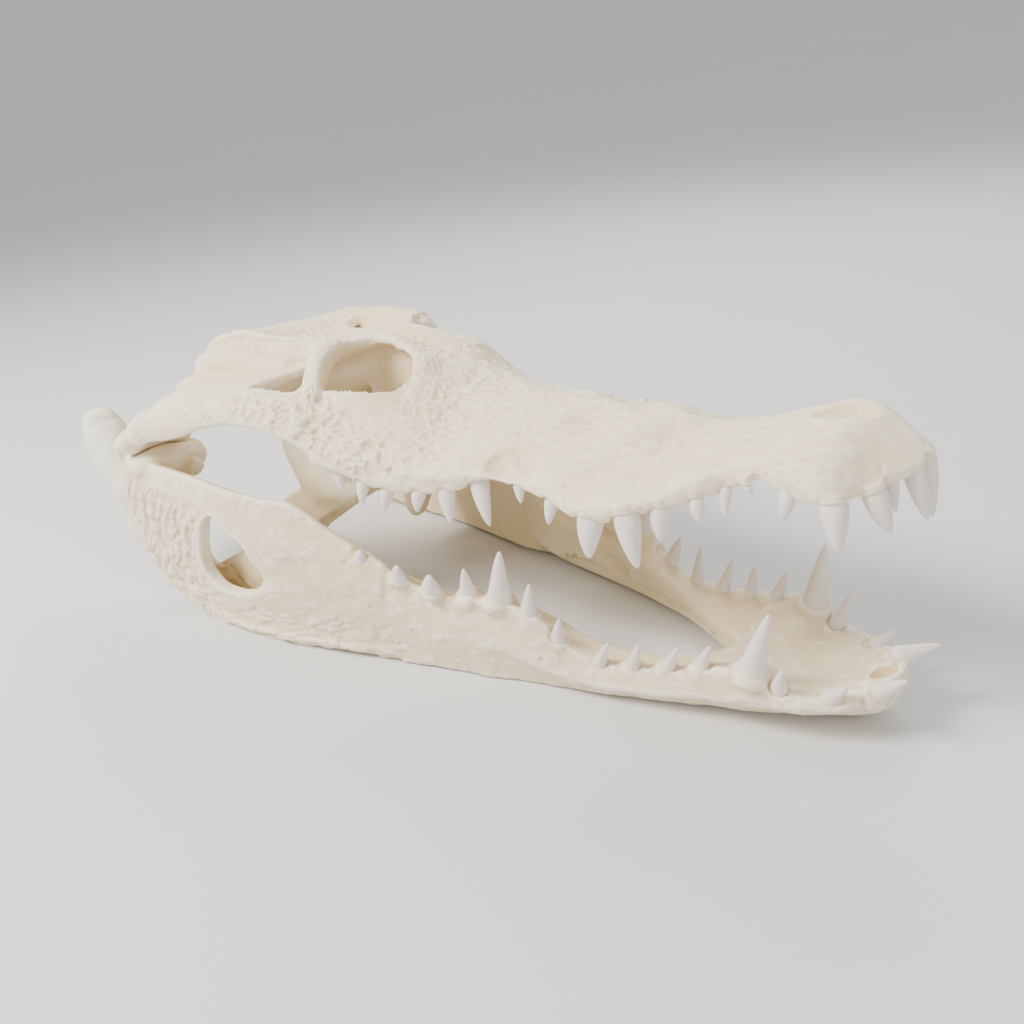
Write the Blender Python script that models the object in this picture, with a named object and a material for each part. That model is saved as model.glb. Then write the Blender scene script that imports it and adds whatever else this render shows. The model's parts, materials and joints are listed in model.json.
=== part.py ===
"""Nile crocodile skull: cranium, lower jaw and socketed teeth, mouth open.

Lengths in the tables are millimetres in two frames, both with x ahead of the jaw joint and y to the
animal's left. Skull tables have z above the joint, and the whole cranium is then pitched up. Jaw
tables have z above the floor. Everything is modelled on the animal's left (y > 0) and mirrored.
"""
import math

import bpy
import numpy as np
from mathutils import Matrix, Vector

MM = 0.001

# Driving dimensions, in millimetres
JOINT_HEIGHT = 114.3  # skull frame origin above the floor
GAPE_PITCH = math.radians(5.2)  # nose-up pitch of the cranium
CENTRE_X = 187.6  # middle of the overall length, moved to x = 0
SOCKET_GAP = 0.35  # clearance between a root and its socket
ROOT_DEPTH = 7.5  # length of root held in the bone
CONDYLE = (-13.0, 83.0, 3.0)  # centre of the jaw joint in the skull frame
CONDYLE_RADIUS = 9.0

CARVE_VOXEL = 2.5
CRANIUM_VOXEL = 2.4
JAW_VOXEL = 2.4
CRANIUM_FACES = 3700
JAW_FACES = 2000
TOOTH_SIDES = 7

BONE = (0.80, 0.75, 0.64)
ENAMEL = (0.82, 0.79, 0.76)

# Outer skin of the snout: x, then (y, z) at midline, roof, shoulder, side, lower side, gum edge
SNOUT_ROWS = (
    (466.0, (0, -14.5), (1.5, -14.8), (3, -15.3), (4, -16), (4.5, -17), (4.5, -18.5)),
    (463.0, (0, -10.5), (4, -11), (7, -12.5), (9, -14.5), (10, -16), (10, -19)),
    (457.5, (0, -5.5), (6, -7), (11, -10.5), (15, -13.5), (17.5, -16), (17.5, -20)),
    (449.0, (0, 0), (10, -2), (18, -7.5), (25, -12.5), (29, -17), (29, -21)),
    (439.0, (0, 5), (14, 3), (27, -3.5), (36, -10), (41, -16), (41, -23)),
    (428.0, (0, 5), (15, 4.5), (28, -0.5), (38, -7.5), (43, -14), (42, -23)),
    (415.0, (0, 3), (15, 2.5), (27, -1), (35, -6), (39, -12), (39, -21)),
    (402.0, (0, 0.5), (14, -0.5), (24, -3.5), (32, -7), (35, -11), (35, -16)),
    (390.0, (0, -2), (14, -3.5), (25, -7), (34, -10.5), (38, -15), (39, -21)),
    (376.0, (0, -3.5), (15, -6), (30, -10), (42, -13.5), (47, -18), (46, -25)),
    (362.0, (0, -2.5), (18, -7.5), (36, -14), (50, -17.5), (56, -21), (56, -27)),
    (347.0, (0, 2.5), (20, -5), (41, -14.5), (57, -20), (63, -23), (62, -29)),
    (332.0, (0, 2), (20, -2), (42, -12.5), (59, -20), (66, -25), (65, -33)),
    (320.0, (0, 1.5), (20, -1.5), (42, -9), (59, -18.5), (66, -23.5), (65, -31)),
    (304.0, (0, 6.5), (20, 0), (42, -8), (58, -13), (64, -18), (64, -24)),
    (284.0, (0, 8.5), (21, 4), (42, -6), (57, -13.5), (63, -16.5), (62, -19)),
    (266.0, (0, 11.5), (21, 6.5), (42, -0.5), (58, -8.5), (65, -12.5), (64, -15.5)),
    (245.0, (0, 16), (22, 10), (43, 0.5), (61, -7), (70, -13), (68, -22)),
    (225.0, (0, 22), (22, 17), (43, 4.5), (62, -6), (74, -10.5), (74, -23)),
    (208.0, (0, 28), (22, 24.5), (42, 12.5), (63, 0), (78, -7), (78, -22)),
)
PALATE_RISE = 7.0  # palate above the gum edge
GUM_WIDTH = 15.0  # width of the tooth-bearing ridge

# Vault from the orbits to the jaw joint: midline, inner rim, outer rim, side, bar, lower edge
VAULT_ROWS = (
    ((222, 0, 23), (222, 22, 18), (222, 43, 5.5), (222, 62, -5), (222, 75, -10.5), (222, 75, -23)),
    ((205, 0, 31), (205, 22, 29), (205, 40, 19), (205, 62, 3), (205, 79, -6), (205, 79, -22)),
    ((190, 0, 36), (190, 22, 38.5), (190, 42, 27), (190, 66, 9.5), (190, 83, -3), (190, 82, -18)),
    ((168, 0, 42), (168, 17, 46.5), (170, 57, 29.5), (168, 76, 15.5), (168, 87, 5), (168, 87, -6)),
    ((150, 0, 46), (150, 17, 49), (150, 62, 33), (151, 81, 23), (152, 91, 14), (152, 91, 5)),
    ((138, 0, 45), (138, 36, 46), (138, 68, 34), (138, 86, 28), (138, 95, 20), (138, 95, 12)),
    ((112, 0, 43), (112, 40, 40), (112, 78, 37), (112, 93, 33), (112, 101, 26), (112, 100, 19)),
    ((83, 0, 45), (83, 42, 40), (83, 82, 38), (83, 97, 35), (83, 104, 26), (83, 103, 17)),
    ((58, 0, 49), (50, 45, 42), (45, 79, 37), (45, 97, 33), (45, 106, 22), (45, 104, 9)),
    ((54, 0, 48), (36, 48, 48), (26, 77, 35), (20, 97, 29), (8, 107, 20), (2, 105, 5)),
)
VAULT_WALL = 7.5
# Outline of the sheet that hangs from the cheek to beside the lower jaw, x, y and z
FLANGE = ((123, 79, 6), (115, 74, -9), (112, 69, -23), (105, 65, -33), (80, 62, -44), (69, 58, -58),
          (69, 51, -76), (75, 45, -92), (84, 43, -98), (93, 45, -94), (98, 51, -80), (103, 57, -63),
          (130, 62, -49), (158, 67, -35), (178, 75, -22), (176, 82, -8), (150, 84, 4))
FLANGE_WALL = 6.5

# Plan outlines of the openings in the vault, x and y
ORBIT = ((195, 36), (194, 29), (188, 22), (178, 18), (164, 16.5), (150, 17.5), (139, 27), (141, 42),
         (151, 62), (159, 62), (171, 57), (183, 50), (191, 43))
TEMPORAL_SLIT = ((107, 81), (125, 76), (139, 71), (135, 60), (129, 49), (116, 60))

# Skull table: x, half width, height of its edge, and how much lower its middle lies
TABLE_ROWS = (
    (152, 16, 50, 3),
    (143, 26, 51, 4),
    (134, 37, 52.5, 6),
    (112, 42, 55.5, 11),
    (88, 45, 59.5, 11),
    (66, 46, 63.5, 8),
    (50, 49, 62.5, 6),
    (38, 50, 60, 5),
    (28, 50.5, 56, 3),
    (20, 49, 50, 1),
)
TABLE_DEPTH = 9.0
TABLE_BACK = ((18, -46), (34, -38), (47, -19), (51, 0), (47, 19), (34, 38), (18, 46), (0, 46), (0, -46))
TABLE_WINDOW = (100.0, 25.0, 17.0, 11.0)  # centre x, centre y, half length, half width

# How far the roof's left side stands lower than its right: x, the drop for each mm out from the
# midline, and the drop beyond the edge of the table
LEFT_DROP = (
    (-20, 0.0, 0), (10, 0.04, 0), (40, 0.19, 0), (60, 0.19, 0), (82, 0.12, 4), (100, 0.05, 12),
    (124, 0.02, 15), (134, 0.02, 15), (150, 0.03, 14), (165, 0.04, 13), (190, 0.09, 8), (210, 0.12, 3),
    (262, 0.12, 0), (280, 0.06, 0), (302, 0.05, 0), (320, 0.03, 0), (338, 0.12, 5), (352, 0.15, 5),
    (368, 0.04, 1), (380, 0.02, 0), (400, 0.0, 0),
)
LEFT_DROP_EDGE = (40.0, 54.0)  # y where the second drop begins and where it is whole
LEFT_DROP_REACH = 60.0  # the drop grows no further beyond this y

# Teeth: name, gum x, y, z, tip x, y, z, radius at the gum
UPPER_TEETH = (
    ("p1", 460, 7, -21, 464.5, 7, -42, 4.8),
    ("p2", 453, 15, -21, 454.5, 15, -36, 3.4),
    ("p3", 450, 25, -24, 456, 25, -41.5, 5.8),
    ("p4", 438.0, 38, -25, 440.5, 42, -45, 6.4),
    ("p5", 417.5, 37, -22, 415, 40, -34, 4.0),
    ("m2", 387, 36.5, -22, 388, 41, -34, 3.4),
    ("m3", 376, 44, -26, 378, 46, -36, 4.2),
    ("m4", 361, 52, -28, 361.5, 55, -43.5, 5.2),
    ("m5", 346.5, 58, -30, 351, 62, -55.5, 7.0),
    ("m6", 327, 60, -32, 325.5, 65, -52, 7.2),
    ("m7", 305, 60, -25, 303, 64, -37, 4.0),
    ("m8", 283.5, 57, -17, 286, 62, -28, 3.9),
    ("m9", 256.5, 58.5, -18.5, 264, 65, -42, 5.8),
    ("m10", 237.5, 65, -23.5, 240, 69, -41, 5.3),
    ("m11", 222, 70, -23, 221, 74, -34, 4.7),
    ("m12", 202, 74, -21, 200, 79, -34, 4.6),
    ("m13", 188, 78, -17, 186, 82, -30, 4.3),
)
LOWER_TEETH = (
    ("d1", 449, 14.5, 25, 465, 18, 40, 4.9),
    ("d2", 432, 26, 23, 443, 31, 37, 4.3),
    ("d3", 410.5, 34, 27, 415.5, 40, 43, 4.0),
    ("d4", 397, 36, 33, 408, 37, 69.5, 6.8),
    ("d5", 371, 38.5, 29, 379, 42, 46, 3.8),
    ("d6", 353, 41.5, 24, 363, 45, 42, 3.8),
    ("d7", 334, 45.5, 21, 342.5, 49, 39.5, 3.9),
    ("d8", 315, 48.5, 18.5, 325.5, 52, 37, 4.0),
    ("d9", 292.5, 53, 29, 298, 56, 46, 4.4),
    ("d10", 277, 56, 43, 282, 58, 64, 5.0),
    ("d11", 259, 58, 47, 266, 60, 81, 7.6),
    ("d12", 240, 62, 48, 242, 65, 67, 5.8),
)

# Crowns of the left side that stand taller or lean otherwise than those of the right
LEFT_TIPS = {
    "d1": (468, 18, 39.6),
    "d2": (442.5, 30, 33),
    "d4": (402, 38, 69.6),
    "d6": (358.5, 45, 43.5),
    "d7": (342.5, 49, 42.4),
    "d8": (320, 52, 44.5),
    "d9": (304.6, 56, 45),
    "p1": (461.5, 7, -47.5),
}
LEFT_GUMS = {
    "d1": (452, 10, 33),
    "d2": (435, 25, 25),
    "d5": (374, 38, 30),
    "d6": (356.5, 41, 25),
    "d7": (337.5, 45, 22),
    "d8": (318.5, 48, 19),
    "d9": (299.5, 53, 29.5),
}

# Lower jaw, front to back: x, then y and z of the gum edge, the bulge, the keel and the inner lip
DENTARY_ROWS = (
    (457, 6, 33, 8, 27, 2, 21, -2, 31),
    (453, 13, 33, 15, 25, 5, 13, -2, 31),
    (445, 22, 30, 24, 22, 5, 6, -2, 28),
    (434, 30, 26, 32, 20, 6, 2.5, -2, 25),
    (420, 36, 25, 38, 19, 10, 0.3, -2, 23.5),
    (406, 39, 28, 41, 18, 17, -0.2, -2, 24),
    (397, 42, 35, 43, 18, 22, -0.3, -2, 25.5),
    (386, 42, 34, 44, 16, 26, -0.3, -2, 26.5),
    (374, 42, 31, 46, 15, 29, -0.3, -2, 26),
    (368, 43, 28, 47.5, 15, 31, -0.1, 4, 23),
    (354, 45, 25, 50.5, 13, 36, 0, 14, 19),
    (335, 49, 22, 54, 11, 43, 0.2, 24, 19.5),
    (318, 52, 21, 58, 11, 49, 0.3, 31, 22),
    (300, 55, 27, 62, 13, 54, 0.3, 35, 27),
    (280, 60, 46, 66, 22, 59.5, 0.4, 39, 37),
    (258, 63, 48, 70, 24, 65.5, 0.4, 43, 39),
    (236, 67, 48, 74, 24, 71.5, 0.4, 47, 38),
    (212, 72, 51, 79, 25, 77, 0.6, 51, 41),
    (192, 76, 59, 84, 29, 82, 0.6, 57, 48),
    (178, 79, 68, 88, 33, 85.5, 0.6, 63, 55),
)
# Outer wall behind the tooth row: x, top y, top z, bulge y, keel y, keel z
WALL_ROWS = (
    (190.0, 77.5, 62, 84, 82, 1.0),
    (178.0, 80, 69, 88, 86, 1.0),
    (165.0, 82.5, 75, 91, 90, 0.8),
    (150.0, 86, 83, 95, 93, 0.5),
    (138.0, 88.5, 91, 98, 96, 0.3),
    (126.0, 91, 96.5, 101, 98, -0.8),
    (105.0, 95.5, 97, 105, 101, -1.4),
    (77.0, 98, 99, 108, 104, -1.6),
    (45.0, 99.5, 102.5, 110, 106, -0.8),
    (15.0, 101, 105, 110, 106, 5.0),
    (-8.0, 101, 105, 109, 104, 13.0),
    (-26.0, 101, 109, 107, 101, 25.0),
    (-36.0, 100, 107, 104, 97, 35.0),
)
WALL_THICKNESS = 9.0
# Inner wall: x, y, lower z, upper z
INNER_WALL = (
    (185.0, 66, 4, 52),
    (160.0, 70, 3, 52),
    (130.0, 77, 2, 48),
    (100.0, 82, 2, 48),
    (70.0, 85, 2, 49),
    (50.0, 85, 3, 41),
    (36.0, 85, 4, 34),
    (20.0, 83, 8, 27),
    (4.0, 80, 14, 36),
    (-10.0, 77, 20, 60),
)
INNER_WALL_THICKNESS = 6.5
JAW_WINDOW = ((63, 80), (70, 80), (84, 72), (95, 65), (98, 57), (105, 51), (106, 44), (97, 36), (82, 31),
              (65, 31), (55, 37), (51, 46), (53, 61), (58, 75))


def smooth(knots, n):
    """Points along a Catmull-Rom curve through knots, n steps between neighbours."""
    knots = np.asarray(knots, float)
    padded = np.vstack([2 * knots[0] - knots[1], knots, 2 * knots[-1] - knots[-2]])
    points = []
    for i in range(1, len(padded) - 2):
        a, b, c, d = padded[i - 1 : i + 3]
        for t in np.arange(n) / n:
            points.append(
                0.5 * (2 * b + (c - a) * t + (2 * a - 5 * b + 4 * c - d) * t**2
                       + (3 * b - a - 3 * c + d) * t**3)
            )
    points.append(knots[-1])
    return np.array(points)


def smooth_rows(rows, n_along, n_across):
    """A grid of points through rows of points, refined both ways."""
    rows = np.asarray(rows, float)
    across = np.array([smooth(row, n_across) for row in rows])
    return np.array([smooth(across[:, j], n_along) for j in range(across.shape[1])]).transpose(1, 0, 2)


class Shape:
    """A closed set of vertices and faces in millimetres."""

    def __init__(self, points, faces):
        self.points = np.asarray(points, float)
        self.faces = [tuple(face) for face in faces]

    def mirrored(self):
        """The same shape on the other side."""
        points = self.points * np.array([1.0, -1.0, 1.0])
        return Shape(points, [face[::-1] for face in self.faces])

    def outward(self):
        """The same shape with its faces pointing out."""
        volume = 0.0
        for face in self.faces:
            a = self.points[face[0]]
            for j in range(1, len(face) - 1):
                volume += np.dot(a, np.cross(self.points[face[j]], self.points[face[j + 1]]))
        return self if volume > 0 else Shape(self.points, [face[::-1] for face in self.faces])


def loft(rings):
    """A closed solid through rings of equal length, capped at both ends."""
    rings = [np.asarray(ring, float) for ring in rings]
    count = len(rings[0])
    points = np.vstack(rings)
    faces = []
    for i in range(len(rings) - 1):
        for j in range(count):
            k = (j + 1) % count
            faces.append((i * count + j, i * count + k, (i + 1) * count + k, (i + 1) * count + j))
    first = len(points)
    points = np.vstack([points, rings[0].mean(axis=0), rings[-1].mean(axis=0)])
    last = (len(rings) - 1) * count
    for j in range(count):
        k = (j + 1) % count
        faces.append((first, k, j))
        faces.append((first + 1, last + j, last + k))
    return Shape(points, faces).outward()


def strut(path, side, sides=14, steps=3):
    """A rounded bar. Path rows are x, y, z, half width towards `side`, half thickness across it."""
    rows = smooth(path, steps)
    centres, widths, depths = rows[:, :3], rows[:, 3], rows[:, 4]
    tangents = np.gradient(centres, axis=0)
    tangents /= np.linalg.norm(tangents, axis=1)[:, None]
    side = np.asarray(side, float)
    rings = []
    stations = [(0, -0.75, 0.45), (0, -0.45, 0.8)]
    stations += [(i, 0.0, 1.0) for i in range(len(rows))]
    stations += [(len(rows) - 1, 0.45, 0.8), (len(rows) - 1, 0.75, 0.45)]
    for i, ahead, scale in stations:
        tangent = tangents[i]
        u = side - side.dot(tangent) * tangent
        u /= np.linalg.norm(u)
        v = np.cross(tangent, u)
        reach = min(widths[i], depths[i])
        centre = centres[i] + tangent * ahead * reach
        angles = np.linspace(0, 2 * math.pi, sides, endpoint=False)
        rings.append([
            centre + scale * (widths[i] * math.cos(a) * u + depths[i] * math.sin(a) * v) for a in angles
        ])
    return loft(rings)


def ball(centre, radii, tilt=0.0, rings=10, sides=16):
    """An ellipsoid, tilted about y by `tilt` radians."""
    turn = np.array(Matrix.Rotation(tilt, 3, "Y"))
    points = [(0.0, 0.0, 1.0)]
    for i in range(1, rings):
        polar = math.pi * i / rings
        for j in range(sides):
            round_ = 2 * math.pi * j / sides
            ring = math.sin(polar)
            points.append((ring * math.cos(round_), ring * math.sin(round_), math.cos(polar)))
    points.append((0.0, 0.0, -1.0))
    points = (np.array(points) * np.array(radii)) @ turn.T + np.array(centre)
    faces = []
    for j in range(sides):
        k = (j + 1) % sides
        faces.append((0, 1 + j, 1 + k))
        for i in range(rings - 2):
            a, b = 1 + i * sides, 1 + (i + 1) * sides
            faces.append((a + j, b + j, b + k, a + k))
        last = 1 + (rings - 2) * sides
        faces.append((last + j, len(points) - 1, last + k))
    return Shape(points, faces).outward()


def prism(outline, low, high, axis="z"):
    """A straight solid between two levels of z, or of y, over a plan or side outline."""
    if axis == "z":
        rings = [[(x, y, level) for x, y in outline] for level in (low, high)]
    else:
        rings = [[(x, level, z) for x, z in outline] for level in (low, high)]
    return loft(rings)


def plate(outline, wall):
    """A sheet of even thickness inside an outline of points in space."""
    outer = smooth([*outline, outline[0]], 2)[:-1]
    return loft([outer, outer - np.array([0.0, wall, 0.0])])


def shell(rows, wall, n_along=3, n_across=3):
    """A wall of even thickness under a skin of points; closed all round."""
    skin = smooth_rows(rows, n_along, n_across)
    along = np.gradient(skin, axis=0)
    across = np.gradient(skin, axis=1)
    normal = np.cross(along, across)
    normal /= np.linalg.norm(normal, axis=2)[:, :, None]
    inside = skin - normal * wall if normal[len(skin) // 2, 0, 2] > 0 else skin + normal * wall
    rings = [np.vstack([outer, inner[::-1]]) for outer, inner in zip(skin, inside)]
    return loft(rings)


def both(shapes):
    """Each shape and its mirror image."""
    return [*shapes, *(shape.mirrored() for shape in shapes)]


def mesh_of(name, shapes):
    """One Blender mesh from many shapes, in metres."""
    mesh = bpy.data.meshes.new(name)
    points, faces, base = [], [], 0
    for shape in shapes:
        points.append(shape.points * MM)
        faces += [tuple(base + i for i in face) for face in shape.faces]
        base += len(shape.points)
    mesh.from_pydata(np.vstack(points).tolist(), [], faces)
    mesh.update()
    return mesh


def object_of(name, shapes):
    """An object in the scene from shapes."""
    obj = bpy.data.objects.new(name, mesh_of(name, shapes))
    bpy.context.scene.collection.objects.link(obj)
    return obj


def carved(shape, cutters):
    """A shape, evened out, with the cutters taken out of it."""
    body = object_of("work", [shape])
    even = body.modifiers.new("even", "REMESH")
    even.mode = "VOXEL"
    even.voxel_size = CARVE_VOXEL * MM
    tools = [object_of("tool", [cutter]) for cutter in cutters]
    for tool in tools:
        cut = body.modifiers.new("cut", "BOOLEAN")
        cut.object = tool
        cut.operation = "DIFFERENCE"
    depsgraph = bpy.context.evaluated_depsgraph_get()
    mesh = body.evaluated_get(depsgraph).to_mesh()
    points = np.array([vertex.co[:] for vertex in mesh.vertices]) / MM
    faces = [tuple(polygon.vertices) for polygon in mesh.polygons]
    body.evaluated_get(depsgraph).to_mesh_clear()
    for obj in (body, *tools):
        bpy.data.objects.remove(obj, do_unlink=True)
    return Shape(points, faces)


def snout():
    """Snout with its palate, from the tip to the front of the orbits."""
    rows = []
    for x, *half in SNOUT_ROWS:
        rows.append([(x, y, z) for y, z in half])
    skin = smooth_rows(rows, 3, 2)
    rings = []
    for row in skin:
        x, gum_y, gum_z = row[-1]
        ridge = min(GUM_WIDTH, 0.55 * gum_y)
        inner = [
            (x, gum_y - 0.18 * ridge, gum_z - 1.2),
            (x, gum_y - 0.6 * ridge, gum_z - 0.8),
            (x, gum_y - ridge, gum_z + 0.6 * PALATE_RISE),
            (x, 0.4 * gum_y, gum_z + PALATE_RISE),
        ]
        left = [tuple(point) for point in row] + inner
        middle = (x, 0.0, gum_z + PALATE_RISE + 0.5)
        right = [(px, -py, pz) for px, py, pz in reversed(left[1:])]
        rings.append([*left, middle, *right])
    body = loft(rings)
    naris = ball((429, 0, 7.5), (18, 14.5, 15))
    passage = strut([(436, 0, -4, 8, 6), (415, 0, -8, 9, 5)], (0, 1, 0))
    incisive = ball((440, 0, -22), (8, 7, 12))
    pockets = both([ball((205, 25, 5), (17, 17, 12))])
    return carved(body, [naris, passage, incisive, *pockets])


def vault():
    """Roof and cheek walls behind the snout, opened by the orbits and the temporal slits."""
    half = shell(VAULT_ROWS, VAULT_WALL, 3, 3)
    cutters = [prism(smooth([*ORBIT, ORBIT[0]], 2)[:-1], 6, 80), prism(TEMPORAL_SLIT, 8, 80)]
    cutters.append(table_window())
    return both([carved(half, cutters)])


def table_window():
    """Upper temporal opening."""
    x, y, length, width = TABLE_WINDOW
    angles = np.linspace(0, 2 * math.pi, 18, endpoint=False)
    outline = [(x + length * math.cos(a), y + width * math.sin(a)) for a in angles]
    return prism(outline, 20, 80)


def table():
    """Slab over the braincase, dished between its two edges."""
    rings = []
    for x, width, top, dip in smooth(TABLE_ROWS, 3):
        dish = [(share * width, top - dip * (1 - share**2)) for share in (0.33, 0.62, 0.85)]
        left = [*dish, (width - 1.5, top), (width, top - 3), (width - 2, top - TABLE_DEPTH)]
        right = [(-y, z) for y, z in reversed(left)]
        under = (0, top - dip - 0.8 * TABLE_DEPTH)
        rings.append([(x, y, z) for y, z in [(0, top - dip), *left, under, *right]])
    return carved(loft(rings), [*both([table_window()]), prism(TABLE_BACK, 20, 80)])


def braincase():
    """Box under the table, the plate below it, and the neck condyle."""
    box = strut([(136, 0, 31, 8, 12), (115, 0, 27, 12, 16), (85, 0, 26, 15, 20), (60, 0, 28, 22, 22)],
                (0, 1, 0))
    plate = strut([(60, 0, 22, 24, 9), (58, 0, -5, 22, 9), (62, 0, -34, 19, 8)], (0, 1, 0))
    body = strut([(70, 0, 6, 14, 20), (100, 0, -8, 12, 18), (128, 0, -18, 12, 10)], (0, 1, 0))
    condyle = ball((43, 0, 12), (11, 10, 9))
    canal = strut([(30, 0, 29, 8, 6), (62, 0, 29, 8, 6)], (0, 1, 0))
    return [carved(box, [canal]), carved(plate, [canal]), body, condyle]


def quadrate():
    """Shaft from the braincase to the jaw joint, and the spool that bears the jaw."""
    x, y, z = CONDYLE
    shaft = strut([(84, 26, 32, 14, 12), (52, 50, 28, 17, 10), (22, 68, 20, 19, 9),
                   (x + 5, y, z + 5, 20, 8)], (0.5, 0.86, 0.1))
    spool = strut([(x + 1, 65, z - 3, 8.5, 8.5), (x, 76, z - 0.5, 7.5, 7.5), (x, 90, z + 1, 7.5, 7.5),
                   (x - 1, 101, z + 1.5, CONDYLE_RADIUS, CONDYLE_RADIUS)], (0, 0, 1))
    wing = strut([(45, 22, 30, 12, 5), (34, 48, 30, 13, 5), (22, 72, 26, 12, 6)], (0, 0, 1))
    hinge_bar = strut([(20, 102, 18, 10, 5), (2, 101, 12, 9, 6), (x + 2, 98, z + 4, 8, 7)], (0, 0, 1))
    web = strut([(80, 24, 14, 9, 4), (48, 46, 15, 9, 4), (14, 66, 11, 7, 4)], (0, 0, 1))
    return [shaft, spool, wing, hinge_bar, web]


def palate_bones():
    """Palatines, pterygoid wings, their hanging pads and the struts to the cheeks."""
    palatines = strut([(222, 0, -16, 15, 7), (185, 0, -18, 14, 6), (150, 0, -25, 17, 5),
                       (124, 0, -34, 20, 6)], (0, 1, 0))
    middle = strut([(130, 0, -32, 18, 6), (106, 0, -42, 22, 6), (84, 0, -50, 20, 5)], (0, 1, 0))
    stem = strut([(66, 0, -28, 16, 8), (86, 0, -44, 16, 6)], (0, 1, 0))
    wing = strut([(107, 4, -42, 24, 5), (102, 26, -48, 19, 4), (93, 46, -60, 12, 4.5)], (1, 0, -0.25))
    flange = plate(FLANGE, FLANGE_WALL)
    shelf = strut([(222, 62, -16, 9, 6), (200, 69, -14, 9, 6), (178, 76, -8, 9, 6),
                   (160, 80, -2, 10, 6)], (0, 1, 0))
    return [palatines, middle, stem, *both([wing, flange, shelf])]


def cranium_shapes():
    """All the bones of the upper skull, in the skull frame."""
    rim_bar = strut([(133, 40, 47, 9, 5), (138, 52, 41, 6, 4.5), (147, 66, 32, 7, 5)], (1, 0, 0))
    under_table = strut([(134, 34, 43, 7, 6), (112, 38, 44, 8, 8), (88, 40, 46, 9, 9),
                         (66, 41, 49, 9.5, 9.5), (48, 43, 47, 9, 9), (40, 43, 45, 8, 7)], (0, 1, 0))
    rear = both([rim_bar, carved(under_table, [table_window()]), *quadrate()])
    return [leaned(shape) for shape in (snout(), *vault(), table(), *braincase(), *rear, *palate_bones())]


def leaned(shape):
    """The same shape with the upper part of its left side let down."""
    x, y, z = shape.points.T
    share = np.clip((z + 30.0) / 40.0, 0.0, 1.0)
    places, rates, steps = zip(*LEFT_DROP)
    beyond = np.clip((y - LEFT_DROP_EDGE[0]) / (LEFT_DROP_EDGE[1] - LEFT_DROP_EDGE[0]), 0.0, 1.0)
    drop = np.interp(x, places, rates) * np.clip(y, 0.0, LEFT_DROP_REACH) + np.interp(x, places, steps) * beyond
    return Shape(np.column_stack([x, y, z - drop * share]), shape.faces)


def dentary_ring(x, gum_y, gum_z, bulge_y, bulge_z, keel_y, keel_z, inner_y, inner_z):
    """Section of the tooth-bearing half of the lower jaw."""
    keel_in = 0.5 * (keel_y + inner_y) if inner_y > 0 else inner_y
    half = [
        (gum_y, gum_z), (0.4 * gum_y + 0.6 * bulge_y, 0.5 * (gum_z + bulge_z)), (bulge_y, bulge_z),
        (0.56 * bulge_y + 0.44 * keel_y, 0.5 * bulge_z + 0.5 * keel_z), (keel_y, keel_z),
        (keel_in, keel_z + 0.8), (inner_y, keel_z + 0.3 * (inner_z - keel_z)),
        (inner_y, keel_z + 0.6 * (inner_z - keel_z)), (inner_y, inner_z - 2),
        (inner_y + 0.25 * (gum_y - inner_y), inner_z),
        (inner_y + 0.75 * (gum_y - inner_y), 0.25 * inner_z + 0.75 * gum_z),
    ]
    return [(x, y, z) for y, z in half]


def wall_ring(x, top_y, top_z, bulge_y, keel_y, keel_z):
    """Section of the thin outer wall behind the tooth row."""
    mid_z = 0.5 * (top_z + keel_z)
    outer = [(top_y, top_z), (bulge_y - 1.5, 0.75 * top_z + 0.25 * keel_z), (bulge_y, mid_z),
             (bulge_y - 0.5, 0.25 * top_z + 0.75 * keel_z), (keel_y, keel_z)]
    low_in = (keel_y - 1.6 * WALL_THICKNESS, keel_z + 3)
    inner = [low_in, (bulge_y - 0.5 - WALL_THICKNESS, 0.25 * top_z + 0.75 * keel_z),
             (bulge_y - WALL_THICKNESS, mid_z),
             (bulge_y - 2 - WALL_THICKNESS, 0.75 * top_z + 0.25 * keel_z),
             (top_y - 0.8 * WALL_THICKNESS, top_z - 3)]
    return [(x, y, z) for y, z in outer + inner]


def fine_rings(rows, ring, n=3):
    """Rings at refined stations of a table of rows."""
    return [ring(*row) for row in smooth(rows, n)]


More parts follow.
